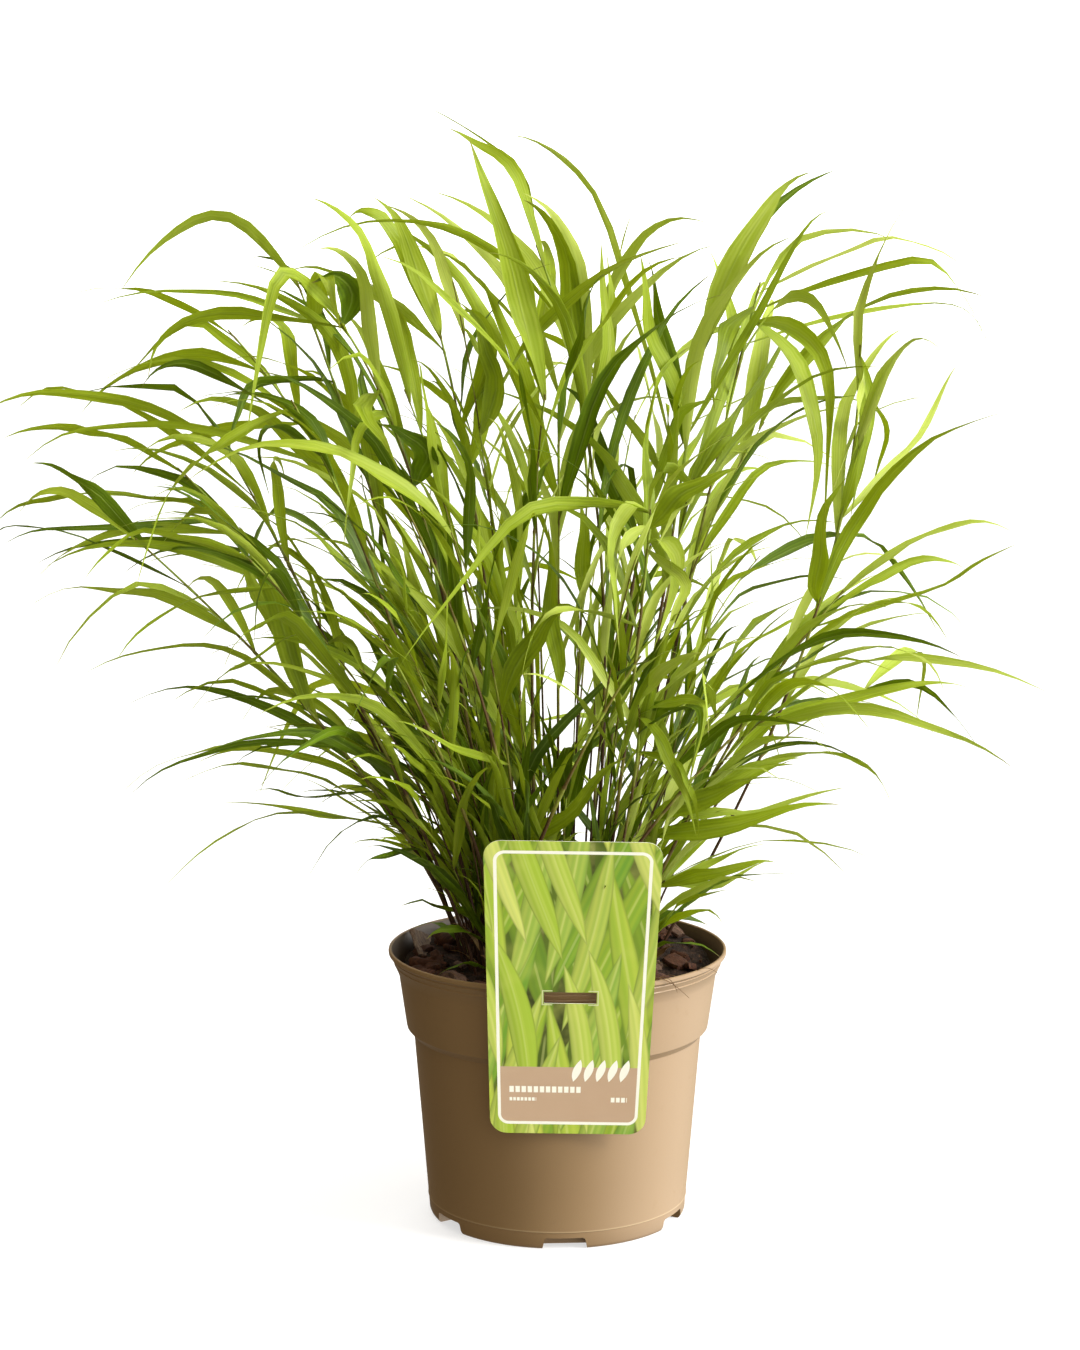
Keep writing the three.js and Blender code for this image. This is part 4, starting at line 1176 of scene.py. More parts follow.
def make_label():
    """The card as a sheet with a window, whose tongue is bent back from the window's upper edge."""
    card = primitive("plane", size=1)
    top = WINDOW_UP + WINDOW_H / 2 - CARD_H / 2
    foot = top - WINDOW_H
    side = WINDOW_W / 2
    shape(card)
    pick_all()
    resize(CARD_BOTTOM_W * MM, CARD_H * MM, 1)
    pick(card, lambda edge: all(v.co.y > 0 for v in edge.verts), "edges")
    resize(CARD_TOP_W / CARD_BOTTOM_W, 1, 1)
    pick_all()
    bpy.ops.mesh.bevel(offset=CARD_CORNER * MM, segments=8, affect="VERTICES")
    cuts = [((0, y * MM, 0), (0, 1, 0)) for y in (top, foot)]
    cuts += [((x * MM, 0, 0), (1, 0, 0)) for x in (-side, side, 1 - side, side - 1)]
    for place, way in cuts:
        pick_all()
        bpy.ops.mesh.bisect(plane_co=place, plane_no=way)

    def in_window(face):
        centre = face.calc_center_median() / MM
        return abs(centre.x) < side and foot < centre.y < top

    def tongue_root(edge):
        x, y, _ = middle_of(edge) / MM
        return abs(x) < side - 1.5 and abs(y - top) < 0.01 and edge.is_boundary

    pick(card, in_window)
    bpy.ops.mesh.delete(type="FACE")
    bpy.ops.mesh.select_mode(type="EDGE")
    pick(card, tongue_root, "edges")
    for up, back in TONGUE:
        extrude(0, up * MM, back * MM)
    done()
    points = corners_of(card.data)
    set_uv(card.data, points[:, :2] / (PRINT_W * MM, PRINT_H * MM) + 0.5)
    for material in (print_finish(), card_edge_finish()):
        card.data.materials.append(material)
    applied(card, "SOLIDIFY", {
        "thickness": CARD_THICK * MM, "offset": -1.0, "material_offset_rim": 1, "use_even_offset": True})
    # the back isn't printed
    for face in card.data.polygons:
        if face.normal.z < -0.5:
            face.material_index = 1
    put = Matrix.Translation(Vector((CARD_SHIFT, -RIM_R - CARD_GAP, POT_H + CARD_GAP - CARD_HANG)) * MM)
    put = put @ Matrix.Rotation(math.radians(90 + CARD_LEAN), 4, "X")
    put = put @ Matrix.Translation((0, -top * MM, CARD_FACE * MM))
    placed(card, put @ Matrix.Rotation(math.radians(-CARD_TURN), 4, "Z"))
    card.name = "printed_label"
    smoothed(card, 30)
    return part_of(card, "label", "label")


# ---- Culms and blades: the masters ----

BLADE_RINGS = (0, 0.03, 0.08, 0.15, 0.23, 0.31, 0.4, 0.49, 0.58, 0.67, 0.75, 0.83, 0.9, 0.96, 1)
SHORT_RINGS = (0, 0.05, 0.13, 0.24, 0.36, 0.5, 0.64, 0.78, 0.9, 1)
CULM_RINGS = 40
THREAD_RINGS = 14


def strand(name, sides, rings, pointed):
    """A closed tube along +Y, 1 long and 1 across, to be laid along a run."""
    quarter = math.radians(90)
    piece = primitive("circle", vertices=sides, radius=0.5, fill_type="NGON", rotation=(quarter, 0, quarter))
    piece.name = name
    placed(placed(piece), Matrix.Rotation(quarter, 4, "Z"))
    shape(piece, "VERT")
    pick_all()
    for low, high in zip(rings, rings[1:]):
        extrude(0, high - low, 0)
    if pointed:
        bpy.ops.mesh.merge(type="CENTER")
    return closed(piece)


def blade_master(name, sides, rings):
    piece = strand(name, sides, rings, True)
    shape(piece)
    pick_all()
    resize(1, 1, 0.02)
    done()
    set_uv(piece.data, corners_of(piece.data)[:, :2] + (0.5, 0))
    return smoothed(piece, 60)


# A blade's form: where it is widest, its neck's share of that width, and its thickness.
BELLY, NECK, BLADE_MIDDLE = 0.3, 0.16, 0.3
# How a laid blade strays, each drawn between two numbers: angles in degrees, the places and the counts
# of its waves along its length, and how far they go.
TWIST, FLUTTER, FLUTTERS = (-50, 50), (8, 34), (0.6, 1.3)
BENT_AT, ROLL, BEND = (0.4, 0.62), (-60, 60), (0, 0.34)
FOLD, RIPPLE, RIPPLES = (0.12, 0.55), (0.04, 0.15), (1.6, 3.2)
SWAY, SWAYS = (0.6, 2.2), (0.9, 1.7)
BOB, BOBS = (0.4, 1.6), (1.2, 2.4)
SLACK_WIDTH = 9
# The tip's nod: where it begins, how far it goes as a share of the length, and above which it has none.
NOD_FROM, NOD, NO_NOD_ABOVE = 0.74, (0.02, 0.08), 595.0


def blade_width(t):
    """How wide a blade is at shares t of its length: full at its belly, and drawn out to its tip."""
    swell = NECK + (1 - NECK) * np.sin(np.pi / 2 * np.minimum(1, t / BELLY)) ** 0.85
    past = np.maximum(0, (t - BELLY) / (1 - BELLY))
    drawn_out = (1 - past) ** 1.4 * (1 + past) + 0.035 * np.minimum(1, 20 * (1 - past))
    return np.where(t < BELLY, swell, drawn_out)


def nodding(run, t, amount):
    """How far a blade's tip has dropped at shares t of its length: outwards too where it stands steep."""
    way = run[2] - run[0]
    steep = max(0.0, heading(run, 0.95)[2])
    out = unit(way * (1, 1, 0)) * 0.8 * steep - UP * (1 - 0.4 * steep)
    past = np.maximum(0, (t - NOD_FROM) / (1 - NOD_FROM)) ** 2
    far = 0.0 if run[2][2] > NO_NOD_ABOVE else np.linalg.norm(way) * (NOD[0] + (NOD[1] - NOD[0]) * amount)
    return out * (far * past)[:, None]


def waves(t, count, phase):
    return np.sin(math.tau * count * t + phase)


def laid_blade(master, leaf, draws, tint, dry, material):
    """A copy of a flat blade, laid along its run: folded at the midrib, rippled and twisted."""
    run, width, turn, calm = leaf["run"], leaf["width"], leaf["turn"], leaf.get("calm", 1.0)
    piece = copied(master, "blade")
    points = corners_of(piece.data)
    across, t, face = points[:, 0] * 2, points[:, 1], np.sign(np.round(points[:, 2], 4))
    way = heading(run, t)
    twist, flutter = math.radians(draws.between(*TWIST)), math.radians(draws.between(*FLUTTER))
    angle = math.radians(turn) * (ROOT_TURN + (1 - ROOT_TURN) * np.minimum(1, t / TURNED_BY))
    angle += calm * twist * np.maximum(0, t - 0.3) ** 1.4
    bent_at, roll = draws.between(*BENT_AT), math.radians(draws.between(*ROLL))
    angle += calm * roll * np.exp(-((t - bent_at) / 0.16) ** 2)
    flutters = waves(t, draws.between(*FLUTTERS), draws.between(0, math.tau))
    angle += flutter * flutters * np.minimum(1, 4 * t)
    side = turned_about(carried_side(run, t), way, angle)
    top = np.cross(side, way)
    half = width * blade_width(t) / 2
    fold = draws.between(*FOLD) * (1.25 - t) * half * np.abs(across)
    count, phase = draws.between(*RIPPLES), draws.between(0, math.tau)
    ripple = draws.between(*RIPPLE) * width * np.sin(np.pi * np.minimum(1, t * 1.1)) * across
    ripple *= waves(t, count, phase + 1.1 * across)
    sway = draws.between(*SWAY) * np.sin(math.tau * (draws.between(*SWAYS) * t + draws.next()))
    bob = draws.between(*BOB) * np.sin(math.tau * (draws.between(*BOBS) * t + draws.next()))
    slack = (4 * t * (1 - t)) * min(1.0, width / SLACK_WIDTH)
    sag = along(run, np.array([0.5]))[0] - (run[0] + run[2]) / 2
    bend = np.exp(-((t - bent_at) / 0.2) ** 2) - 0.4 * np.sin(np.pi * t)
    out = along(run, t) + sag * (draws.between(*BEND) * bend)[:, None]
    out += side * (across * half + sway * slack)[:, None]
    out += top * (bob * slack + fold + ripple + face * BLADE_MIDDLE / 2)[:, None]
    out += nodding(run, t, abs(math.sin(phase)))
    set_corners(piece.data, out * MM)
    set_attribute(piece.data, "tint", tint)
    set_attribute(piece.data, "dry", dry)
    piece.data.materials.append(material)
    return piece


def ring_shares(master, shares):
    """The share of the run at which each vertex of a tube's rings lies."""
    return shares[np.rint(corners_of(master.data)[:, 1] * (len(shares) - 1)).astype(int)]


# A direction that no culm or fibre keeps to, from which their sides are measured.
ODD_WAY = np.array([0.31, 0.83, 0.17])


def laid_strand(master, points_of, radius_of, shares, material):
    """A copy of a tube laid along points, with its own radius at each ring."""
    piece = copied(master, "strand")
    corners = corners_of(piece.data)
    t = ring_shares(master, shares)
    centre, way = points_of(t)
    side = unit(np.cross(way, ODD_WAY))
    up = np.cross(way, side)
    radius = radius_of(t)
    out = centre + (side * corners[:, :1] + up * corners[:, 2:]) * 2 * radius[:, None]
    set_corners(piece.data, out * MM)
    set_uv(piece.data, np.column_stack((corners[:, 0] + 0.5, t)))
    piece.data.materials.append(material)
    return piece


# ---- The plant ----

CULM_FOOT_R = 1.05
CULM_TOP_R = 0.45
NODE_SWELL = 1.45
NODE_HALF = 0.004
SHEATH_LONG = 0.1
SHEATH_SWELL = 1.18
CULM_UNDER = 4.0


def run_of(*points):
    return tuple(np.array(point, float) for point in points)


def foliage(pieces, name, *nodes):
    return part_of(joined(pieces, name), "foliage", *nodes)


def culm_shares(nodes):
    """Where a culm has its rings: three close together at each node, and the rest spread evenly."""
    near = [min(1, max(0, s + d)) for s in nodes for d in (-0.008, 0, 0.008)]
    near = near[:CULM_RINGS - 8]
    return np.sort(np.concatenate([near, np.linspace(0, 1, CULM_RINGS - len(near))]))


def laid_culm(kit, run, nodes, thick):
    shares = culm_shares(nodes)

    def points_of(t):
        centre = along(run, t)
        centre[t == 0] -= np.array([0, 0, CULM_UNDER])
        way = heading(run, t)
        way[t == 0] = UP
        return centre, way

    def radius_of(t):
        radius = (CULM_FOOT_R + (CULM_TOP_R - CULM_FOOT_R) * t) * thick
        for node in nodes:
            radius = radius * np.where(np.abs(t - node) < NODE_HALF, NODE_SWELL, 1)
            below = (t < node - NODE_HALF) & (t > node - SHEATH_LONG)
            radius = radius * np.where(below, SHEATH_SWELL, 1)
        return radius

    culm = laid_strand(kit["tube"], points_of, radius_of, shares, kit["culm"])
    t = ring_shares(kit["tube"], shares)
    sheath = np.zeros(len(t))
    for node in nodes:
        sheath = np.maximum(sheath, ((t < node) & (t > node - SHEATH_LONG)).astype(float))
    set_attribute(culm.data, "sheath", sheath)
    return culm


# How light a leaf is: its luck, a tone of its own, and painted light by its place: what it adds for each
# millimetre to the right or above HIGH, where the light falls, or in the crown's middle, to make up for its
# shade, and the painted shade that it takes for each millimetre below LOW.
LUCK, RIGHT_TINT, INSIDE_TINT, HIGH_TINT, LOW_TINT = (-0.42, 0.4), 0.0005, 0.16, 0.0012, 0.0016
CROWN_REACH, HIGH, LOW, LOW_TO = 130, 420, 335, 40
# On the left, painted shade: no leaf is as light as one in the light, evened out and held down low, and held
# down higher up.
EVEN_X, EVEN_Z, EVEN_TINT, EVEN, EVEN_MOST = -10, 440, 0.46, 0.75, 0.6
HELD_X, HELD_Z, HELD_MOST = -30, 500, 0.55
# Painted light: above the first tint a leaf takes the finish painted as lit, below the second the finish
# painted in shade.
PAINTED_LIT_ABOVE, INNER_BELOW = 0.62, 0.3


def leaf_tint(middle, draws):
    """How light a leaf is: a random tone of its own, with painted light by its place: lighter to the right
    and at the top, where the light falls, and in the crown, where little light comes, and darker low on the
    left.
    """
    x, y, z = middle
    inside = max(0.0, 1 - math.hypot(x, y) / CROWN_REACH)
    luck = draws.between(*LUCK) * (1 + 0.6 * inside)
    tint = 0.5 + RIGHT_TINT * x + INSIDE_TINT * inside + HIGH_TINT * max(0.0, z - HIGH) + luck
    if x < LOW_TO:
        tint -= LOW_TINT * max(0.0, LOW - z)
    if x < EVEN_X and z < EVEN_Z:
        return min(EVEN_TINT + EVEN * (tint - EVEN_TINT), EVEN_MOST)
    return min(tint, HELD_MOST) if x < HELD_X and z < HELD_Z else tint


def tinted_blade(kit, master, leaf, draws, tint, dry):
    """A laid blade in the finish that goes with its tint: the copy painted as lit, the full one, or the one
    painted in shade.
    """
    finish = "painted_lit" if tint > PAINTED_LIT_ABOVE else "inner" if tint < INNER_BELOW else "full"
    return laid_blade(kit[master], leaf, draws, tint, dry, kit[finish])


# The share of a solid leaf's width that is kept above and below a height, where leaves are finer, and
# below it in the middle of the crown, on the stems that fill it.
SLIM, SLIM_LOW, SLIM_INSIDE, FINE_BELOW = 0.84, 0.73, 0.6, 430
FIRST_FILLER, INSIDE = 28, 90
FILLER_THICK = 0.72


def slimness(number, middle):
    x, _, z = middle
    if z > FINE_BELOW:
        return SLIM
    return SLIM_INSIDE if number >= FIRST_FILLER and abs(x) < INSIDE else SLIM_LOW


def make_stem(number, name, run, leaves, kit):
    """The culm and its leaves, each a little slimmer than the solid one that it stands for."""
    draws = Draws(7001 + 13 * number)
    thick = FILLER_THICK if number >= FIRST_FILLER else 1.0
    pieces = [laid_culm(kit, run, sorted(leaf["share"] for leaf in leaves), thick)]
    for leaf in leaves:
        _, middle, tip = leaf["run"]
        width = leaf["width"] * slimness(number, middle)
        leaf = dict(leaf, run=(along(run, leaf["share"]), middle, tip), width=width)
        tint = leaf_tint(middle, draws)
        pieces.append(tinted_blade(kit, "blade", leaf, draws, tint, draws.between(0, 1)))
    return foliage(pieces, "leafy_" + name, name)


# Each group's name, the two turns it lies between, how many shoots it has and how high they stand.
SHOOT_GROUPS = (
    ("left_shoots", 120, 235, 50, 70, 240),
    ("low_left_shoots", 150, 232, 32, 18, 95),
    ("front_shoots", 235, 318, 7, 60, 190),
    ("right_shoots", -42, 60, 12, 60, 200),
    ("low_right_shoots", -60, 10, 9, 18, 70),
    ("back_shoots", 60, 120, 5, 70, 235),
)


# A shoot: the share of the crown it stands in, its lean as a share of its height, its swing in radians,
# its bow, its lift, how thick it is, where its leaves start, and how often the lowest is missing.
SHOOT_SPREAD, SHOOT_LEAN, SHOOT_SWING, SHOOT_BOW, SHOOT_LIFT = 0.92, (0.15, 0.6), (-0.5, 0.5), 0.12, 0.05
SHOOT_THICK, SHOOT_SHARES, SHOOT_STRAY, SHOOT_BARE = (0.4, 0.62), (0.5, 0.68, 0.84, 0.97), (-0.05, 0.02), 0.4

# What the small leaves on shoots and the narrow ones on stems are drawn between: how far each stands off
# its culm's way, its length, how much less steep than the culm it rises, how much it falls from there,
# its swing, its width as a share of its length, and its turn in degrees. The other angles are in radians.
SHOOT_LEAF = ((0.1, 1.0), (55, 125), (0.0, 0.3), (0.05, 0.5), (-0.25, 0.25), (0.04, 0.064), (-60, 60))
NARROW_LEAF = ((0.05, 0.95), (75, 150), (0.0, 0.45), (0.3, 1.25), (-0.3, 0.3), (0.034, 0.055), (-70, 70))
ALL_ROUND = (0.05, 3.0)


def side_leaf(run, share, straight, k, draws, ranges):
    """A small leaf that stands off its culm, to the other hand than the one before it."""
    off, long, less, fall, swing, slim, turn = ranges
    base = along(run, share)
    facing = straight + (1 if k % 2 else -1) * draws.between(*off)
    length = draws.between(*long)
    rise = math.asin(heading(run, share)[2]) - draws.between(*less)
    drop = rise - draws.between(*fall)
    middle = base + way_at(facing, rise) * length / 2
    tip = middle + way_at(facing + draws.between(*swing), drop) * length / 2
    return {"run": (base, middle, tip), "width": length * draws.between(*slim), "turn": draws.between(*turn)}


def make_shoots(number, group, kit):
    """Young side shoots between the stems: thin culms with a few small, steep leaves."""
    name, first, last, count, least, most = group
    draws = Draws(9001 + 101 * number)
    pieces = []
    for _ in range(count):
        angle = math.radians(draws.between(first, last))
        away = CROWN_R * SHOOT_SPREAD * math.sqrt(draws.next())
        foot = way_at(angle) * away
        foot[2] = SOIL_Z + 1
        high = draws.between(least, most)
        lean = high * draws.between(*SHOOT_LEAN) * (0.4 + 0.6 * away / CROWN_R)
        way = way_at(angle + draws.between(*SHOOT_SWING))
        end = foot + way * lean
        end[2] = SOIL_Z + high
        half = foot + (end - foot) * 0.5 - way * lean * SHOOT_BOW
        half[2] += SHOOT_LIFT * high
        run = (foot, half, end)
        starts = SHOOT_SHARES[draws.next() < SHOOT_BARE:]
        shares = [share + draws.between(*SHOOT_STRAY) for share in starts]
        pieces.append(laid_culm(kit, run, shares, draws.between(*SHOOT_THICK)))
        for k, share in enumerate(shares):
            leaf = side_leaf(run, share, math.atan2(way[1], way[0]), k, draws, SHOOT_LEAF)
            tint = leaf_tint(leaf["run"][1], draws) - 0.04
            pieces.append(tinted_blade(kit, "short", leaf, draws, tint, draws.between(0, 1)))
    return foliage(pieces, name)


# The bold leaves: the number of the stem that each grows on and the share of it at which it starts, its
# middle, its tip, its width, and how light it is, its own tone and painted light together. A light one faces
# the light.
BOLD_LEAVES = (
    (8, 0.98, (-112, -45, 521), (-130, -52, 523), 14, 0.22),
    (8, 0.96, (-143, -60, 517), (-162, -85, 446), 9.5, 0.55),
    (8, 0.74, (-104, -55, 443), (-112, -90, 387), 6.5, 0.57),
    (1, 0.64, (-154, -42, 353), (-168, -48, 396), 12.5, 0.42),
    (42, 0.5, (-11, -62, 338), (16, -78, 354), 12, 0.36),
    (20, 0.98, (30, -75, 394), (32, -85, 331), 8.5, 0.63),
    (20, 0.86, (62, -72, 379), (49, -88, 333), 11, 0.73),
    (20, 0.92, (69, -60, 412), (94, -60, 427), 13, 0.4),
    (20, 0.39, (54, -60, 297), (75, -78, 305), 11, 0.28),
    (25, 0.92, (71, -88, 301), (67, -100, 262), 8, 0.55),
    (25, 0.9, (58, -85, 274), (72, -98, 237), 8.5, 0.46),
    (24, 0.97, (4, -65, 241), (33, -80, 280), 12.5, 0.38),
    (15, 0.7, (165, -12, 442), (161, -14, 479), 8.5, 0.5),
    (11, 0.68, (26, 5, 496), (22, 0, 547), 8, 0.68),
    (11, 0.76, (4, 5, 531), (-15, 0, 571), 12, 0.32),
    (9, 0.79, (-39, -10, 491), (-55, -18, 511), 10.5, 0.45),
    (42, 0.39, (-57, -80, 280), (-85, -95, 301), 4.5, 0.55),
    (13, 1.0, (104, 0, 547), (133, -5, 587), 14, 0.75),
    (14, 0.94, (138, -4, 458), (135, -14, 392), 12, 0.63),
    (15, 0.98, (168, -12, 444), (159, -14, 397), 6.5, 0.5),
    (15, 0.56, (143, -16, 382), (154, -20, 421), 10, 0.45),
    (14, 0.96, (90, 10, 487), (86, 0, 457), 10.5, 0.32),
    (9, 0.99, (-78, -6, 533), (-96, -6, 572), 13, 0.61),
    (10, 0.98, (-26, -27, 528), (-47, -32, 596), 14, 0.57),
    (11, 0.96, (-29, 3, 583), (-60, -2, 604), 8.5, 0.59),
    (13, 0.83, (51, 6, 496), (49, 2, 541), 11, 0.5),
    (49, 0.72, (-36, -14, 478), (-52, -18, 514), 12, 0.4),
    (38, 0.83, (30, 50, 495), (26, 45, 543), 8.5, 0.68),
    (8, 0.62, (-74, -42, 434), (-94, -46, 450), 14, 0.28),
    (41, 0.44, (-3, -50, 349), (-5, -56, 397), 10, 0.42),
    (22, 0.94, (-17, -8, 399), (-6, -10, 428), 11, 0.24),
    (38, 0.45, (14, -5, 374), (12, -20, 408), 10, 0.5),
    (18, 0.63, (99, -46, 232), (151, -48, 249), 11, 0.5),
    (45, 0.44, (86, -50, 250), (125, -52, 270), 12, 0.46),
    (19, 0.71, (88, -42, 204), (118, -44, 214), 8, 0.5),
    (46, 0.86, (-175, -24, 269), (-238, -22, 250), 4, 0.2),
    (3, 0.84, (-214, -46, 446), (-288, -40, 436), 4.5, 0.42),
    (5, 0.86, (-247, -26, 391), (-302, -30, 388), 4, 0.28),
    (5, 0.7, (-210, -36, 380), (-277, -40, 379), 6.5, 0.36),
    (4, 0.94, (-178, -10, 514), (-252, -28, 518), 4, 0.3),
    (1, 0.99, (-262, -36, 408), (-292, -30, 402), 6.5, 0.6),
)

# The culms that cross in front of the rest: foot, middle, end, how thick, and the shares of their nodes.
FRONT_CULMS = (
    ((-36, -34, 143), (-1, -78, 248), (43, -84, 328), 1.35, (0.3, 0.55, 0.8, 0.97)),
    ((-8, -38, 143), (53, -74, 239), (108, -66, 296), 1.2, (0.35, 0.6, 0.83, 0.98)),
    ((-14, -36, 143), (-37, -64, 288), (-84, -56, 410), 1.1, (0.25, 0.5, 0.72, 0.9)),
    ((-24, -26, 143), (-60, -68, 266), (-102, -76, 350), 1.0, (0.4, 0.62, 0.85)),
)


def make_front_culms(kit):
    culms = [laid_culm(kit, run_of(*run), nodes, thick) for *run, thick, nodes in FRONT_CULMS]
    return foliage(culms, "front_culms")


TO_LIGHT, FROM_LIGHT = run_of((0.35, -0.9, 0.3), (-0.12, -1.0, 0.15))
FACING_LIGHT_ABOVE = 0.45
CALM = 0.35


def turned_to(run, way):
    """The turn, in degrees, at which a blade's upper face looks one way at its middle."""
    side = carried_side(run, 0.45)
    top = np.cross(side, heading(run, 0.45))
    return math.degrees(math.atan2(side @ way, top @ way))


def make_bold_leaves(stems, kit):
    draws = Draws(17011)
    pieces = []
    for stem, share, middle, tip, width, tint in BOLD_LEAVES:
        run = run_of(along(stems[stem - 1][0], share), middle, tip)
        turn = turned_to(run, TO_LIGHT if tint > FACING_LIGHT_ABOVE else FROM_LIGHT)
        leaf = {"run": run, "width": width, "turn": turn, "calm": CALM}
        pieces.append(tinted_blade(kit, "blade", leaf, draws, tint, draws.next()))
    return foliage(pieces, "bold_leaves")


# Each group's name, its first stem and the one after its last, and how many leaves each stem has. They
# keep inside the room, and are fewer in the middle.
NARROW_GROUPS = (("narrow_leaves_left", 0, 14, 3), ("narrow_leaves_right", 14, 28, 2))
ROOM = run_of((-322, -228, 160), (255, 230, 613))
FEW_INSIDE = 75


def make_narrow_leaves(number, group, stems, kit):
    """The narrow leaves between a stem's broad ones, their tips hanging."""
    name, first, last, count = group
    draws = Draws(15013 + 211 * number)
    pieces = []
    for run, _ in stems[first:last]:
        way = (run[2] - run[0]) * (1, 1, 0)
        straight = math.atan2(way[1], way[0])
        ranges = (ALL_ROUND, *NARROW_LEAF[1:]) if np.linalg.norm(way) < UPRIGHT else NARROW_LEAF
        for k in range(count):
            share = 0.52 + 0.46 * (k + draws.next()) / count
            leaf = side_leaf(run, share, straight, k, draws, ranges)
            _, middle, tip = leaf["run"]
            tint = leaf_tint(middle, draws) + 0.06
            few = abs(middle[0]) < FEW_INSIDE and k % 3
            if not few and np.all(tip > ROOM[0]) and np.all(tip < ROOM[1]):
                pieces.append(tinted_blade(kit, "short", leaf, draws, tint, draws.between(0.3, 1)))
    return foliage(pieces, name)


# The lowest leaves, which lie over the soil: where each starts, bends and ends, and its width and turn.
LOW_LEAVES = (
    ((-38, -20, 162), (-60, -30, 180), (-87, -36, 186), 10, 30),
    ((-36, -24, 156), (-54, -36, 170), (-72, -46, 170), 8, -20),
    ((-38, -36, 147), (-52, -44, 152), (-66, -50, 148), 4, 10),
    ((-30, -16, 160), (-48, -22, 184), (-66, -30, 194), 7, 20),
    ((44, 20, 152), (64, 27, 161), (87, 33, 158), 8, 60),
    ((46, -24, 150), (66, -36, 162), (90, -40, 158), 5, -20),
    ((-48, 6, 143), (-66, 12, 160), (-84, 16, 158), 6, 15),
    ((-20, 48, 143), (-26, 70, 166), (-30, 92, 166), 7, -15),
    ((22, 46, 143), (30, 68, 168), (44, 90, 170), 7, 20),
)


# Painted shade: the low leaves are dark and take the finish painted in shade.
LOW_LEAF_TINT = (0.05, 0.4)
# The dry husks: how many, how long, how steep in radians, how wide, and their turn in degrees.
HUSKS, HUSK_LONG, HUSK_RISE, HUSK_WIDE, HUSK_TURN = 46, (12, 42), (0.5, 1.4), (2.2, 4.5), (-90, 90)


def make_crown(kit):
    """Low leaves, dark in painted shade, and dry husks round the culms' feet."""
    draws = Draws(12007)
    pieces = []
    for *run, width, turn in LOW_LEAVES:
        leaf = {"run": run_of(*run), "width": width, "turn": turn}
        tint = draws.between(*LOW_LEAF_TINT)
        pieces.append(laid_blade(kit["short"], leaf, draws, tint, 1.0, kit["inner"]))
    for _ in range(HUSKS):
        angle, away = draws.between(0, math.tau), CROWN_R * math.sqrt(draws.between(0.15, 1.1))
        foot = way_at(angle) * away
        foot[2] = SOIL_Z + 1
        long = draws.between(*HUSK_LONG)
        top = foot + way_at(angle, draws.between(*HUSK_RISE)) * long
        leaf = {"run": (foot, (foot + top) / 2 + (0, 0, long * 0.08), top),
                "width": draws.between(*HUSK_WIDE), "turn": draws.between(*HUSK_TURN)}
        pieces.append(laid_blade(kit["short"], leaf, draws, draws.next(), 1.0, kit["husk"]))
    return foliage(pieces, "crown_litter")


# Loose fibres at the front right of the rim, and on the soil: start, bend and end.
FIBRES = (
    ((46, -74, 149), (55.5, -78.5, 153), (71, -62, 138)),
    ((49, -72, 149), (58, -76.5, 153), (64, -72.5, 144)),
    ((70, -52, 146), (79, -56, 153.2), (88, -46, 147)),
    ((-70, -38, 144), (-62, -48, 150), (-50, -60, 146)),
    ((-60, -56, 143), (-50, -62, 147), (-42, -66, 144)),
    ((50, -60, 143), (58, -52, 148), (70, -46, 144)),
    ((-72, 20, 143), (-60, 34, 150), (-44, 44, 144)),
    ((40, 62, 143), (56, 54, 148), (68, 40, 144)),
)


def make_fibres(kit):
    """Loose fibres over the soil and the rim."""
    shares = np.linspace(0, 1, THREAD_RINGS)
    pieces = []
    for fibre in FIBRES:
        pieces.append(laid_strand(
            kit["thread"], lambda t, r=run_of(*fibre): (along(r, t), heading(r, t)),
            lambda t: 0.28 - 0.16 * t, shares, kit["husk"]))
        set_attribute(pieces[-1].data, "tint", 0.0)
    return foliage(pieces, "loose_fibres")


# Each leaf finish, one of three copies of a leaf's material painted from in shade (inner) to lit: its greens
# from dark to light, and the colour and share of the light through it.
LEAF_COLOURS = (
    ("inner", ((0.0, 50, 71, 4), (0.35, 98, 126, 12), (0.8, 150, 170, 36)), (184, 202, 44), 0.32),
    ("full", ((0.05, 68, 88, 5), (0.5, 150, 170, 36), (0.95, 190, 203, 82)), (204, 215, 78), 0.45),
    ("painted_lit", ((0.2, 132, 156, 28), (0.6, 170, 189, 58), (1.0, 194, 206, 98)), (198, 211, 92), 0.4),
)


def make_plant():
    masters = {
        "blade": blade_master("blade_master", 4, BLADE_RINGS),
        "short": blade_master("short_master", 4, SHORT_RINGS),
        "tube": smoothed(strand("culm_master", 6, np.linspace(0, 1, CULM_RINGS), False), 70),
        "thread": smoothed(strand("thread_master", 5, np.linspace(0, 1, THREAD_RINGS), False), 70),
    }
    finishes = {
        name: leaf_finish("leaf_" + name, stops, through, share)
        for name, stops, through, share in LEAF_COLOURS}
    kit = {**masters, **finishes, "culm": culm_finish(), "husk": husk_finish()}
    grown = grown_stems()
    for number, (name, (run, leaves)) in enumerate(grown.items()):
        make_stem(number, name, run, leaves, kit)
    stems = list(grown.values())
    make_front_culms(kit)
    make_bold_leaves(stems, kit)
    for number, group in enumerate(NARROW_GROUPS):
        make_narrow_leaves(number, group, stems, kit)
    for number, group in enumerate(SHOOT_GROUPS):
        make_shoots(number, group, kit)
    make_crown(kit)
    make_fibres(kit)
    for master in masters.values():
        bpy.data.objects.remove(master)


# ---- Studio ----

# Each light's name, the way it comes from, its strength and how wide it looks, in degrees.
LIGHTS = (
    ("key", (0.93, -0.34, 0.66), 3.6, 22),
    ("rim", (-0.25, 0.85, 0.9), 2.2, 50),
    ("front", (0.1, -0.9, 0.5), 0.95, 70),
)


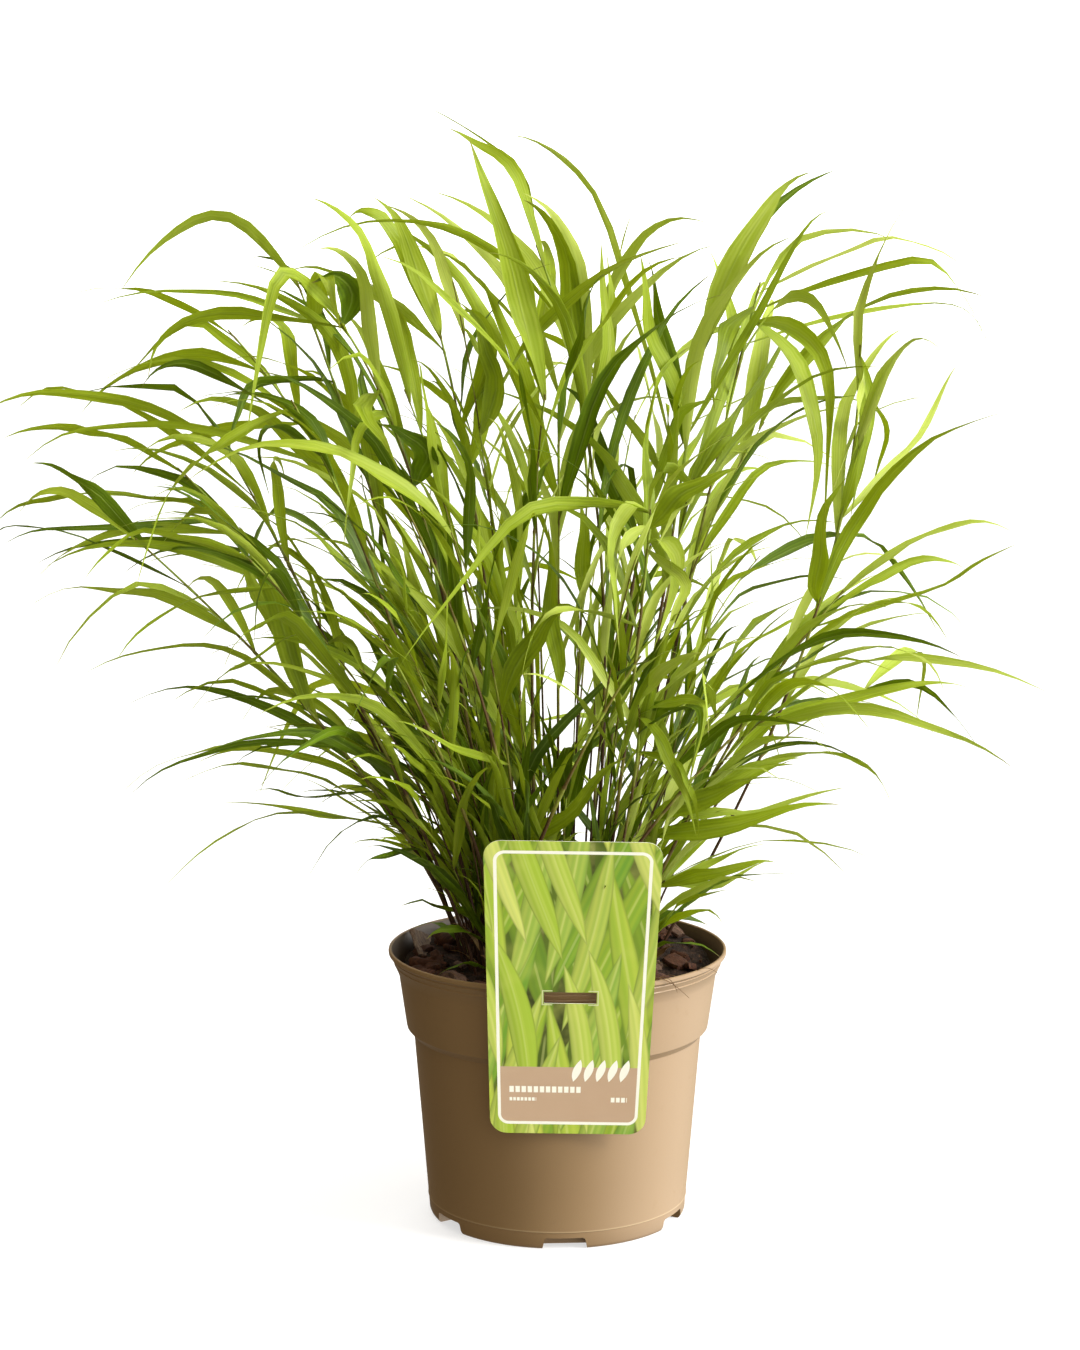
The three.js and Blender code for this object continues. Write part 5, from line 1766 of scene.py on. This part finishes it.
def backdrop(piece, name, finish, shade, glow, unseen):
    """A plain thing behind or under the part, which some kinds of rays don't see."""
    piece.name = name
    f = Finish(finish, 0.1)
    piece.data.materials.append(f.paint(
        Base_Color=srgb(*shade), Roughness=0.9, Emission_Color=(1, 1, 1, 1), Emission_Strength=glow))
    for ray in unseen:
        setattr(piece, "visible_" + ray, False)


def make_world():
    """Walls, dim and warm on the left and bright on the right. The camera sees white in their place."""
    world = bpy.data.worlds.new("studio")
    bpy.context.scene.world = world
    world.use_nodes = True
    world.node_tree.nodes.clear()
    w = Nodes(world.node_tree)
    x, _, _ = w.split(w.node("ShaderNodeTexCoord", out="Generated"))
    across = w.node("ShaderNodeMapRange", values={0: x, "From Min": -0.6, "From Max": 0.9})
    walls = w.ramp(
        across, (0.0, 0.066, 0.048, 0.027, 1), (0.68, 0.19, 0.185, 0.17, 1), (1.0, 0.9, 0.9, 0.88, 1))
    lit = w.node("ShaderNodeBackground", values={"Color": walls, "Strength": 3.0})
    plain = w.node("ShaderNodeBackground", values={"Color": (1, 1, 1, 1)})
    from_camera = w.node("ShaderNodeLightPath", out="Is Camera Ray")
    mixed = w.node("ShaderNodeMixShader", values={0: from_camera, 1: lit, 2: plain})
    w.feed(w.tree.nodes.new("ShaderNodeOutputWorld").inputs[0], mixed)


def make_studio():
    # the floor catches shadows, and neither it nor the wall throws light back on the part
    backdrop(
        primitive("circle", vertices=64, radius=30, fill_type="NGON"),
        "floor", "pale_floor", (176, 176, 176), 0.62, ("diffuse", "glossy"))
    backdrop(
        primitive("plane", size=60, location=(0, 28, 30), rotation=(math.radians(90), 0, 0)),
        "wall", "white_wall", (243, 243, 241), 0.95, ("diffuse", "glossy", "transmission", "shadow"))

    for name, way, energy, wide in LIGHTS:
        sun = bpy.data.lights.new(name, "SUN")
        sun.energy = energy
        sun.angle = math.radians(wide)
        sun.color = (1.0, 0.99, 0.97)
        lamp = bpy.data.objects.new(name, sun)
        lamp.rotation_euler = Vector(way).to_track_quat("Z", "Y").to_euler()
        lamp.visible_glossy = name == "key"
        bpy.context.collection.objects.link(lamp)
    make_world()

    camera = bpy.data.cameras.new("camera")
    camera.lens = LENS
    camera.sensor_width = SENSOR
    camera.clip_start = 0.05
    eye = bpy.data.objects.new("camera", camera)
    eye.location = Vector(EYE) * MM
    eye.rotation_euler = (math.radians(90 - LOOK_DOWN), 0, 0)
    bpy.context.collection.objects.link(eye)
    bpy.context.scene.camera = eye
    bpy.context.scene.view_settings.view_transform = "Standard"


make_studio()
make_pot()
make_soil()
make_label()
make_plant()
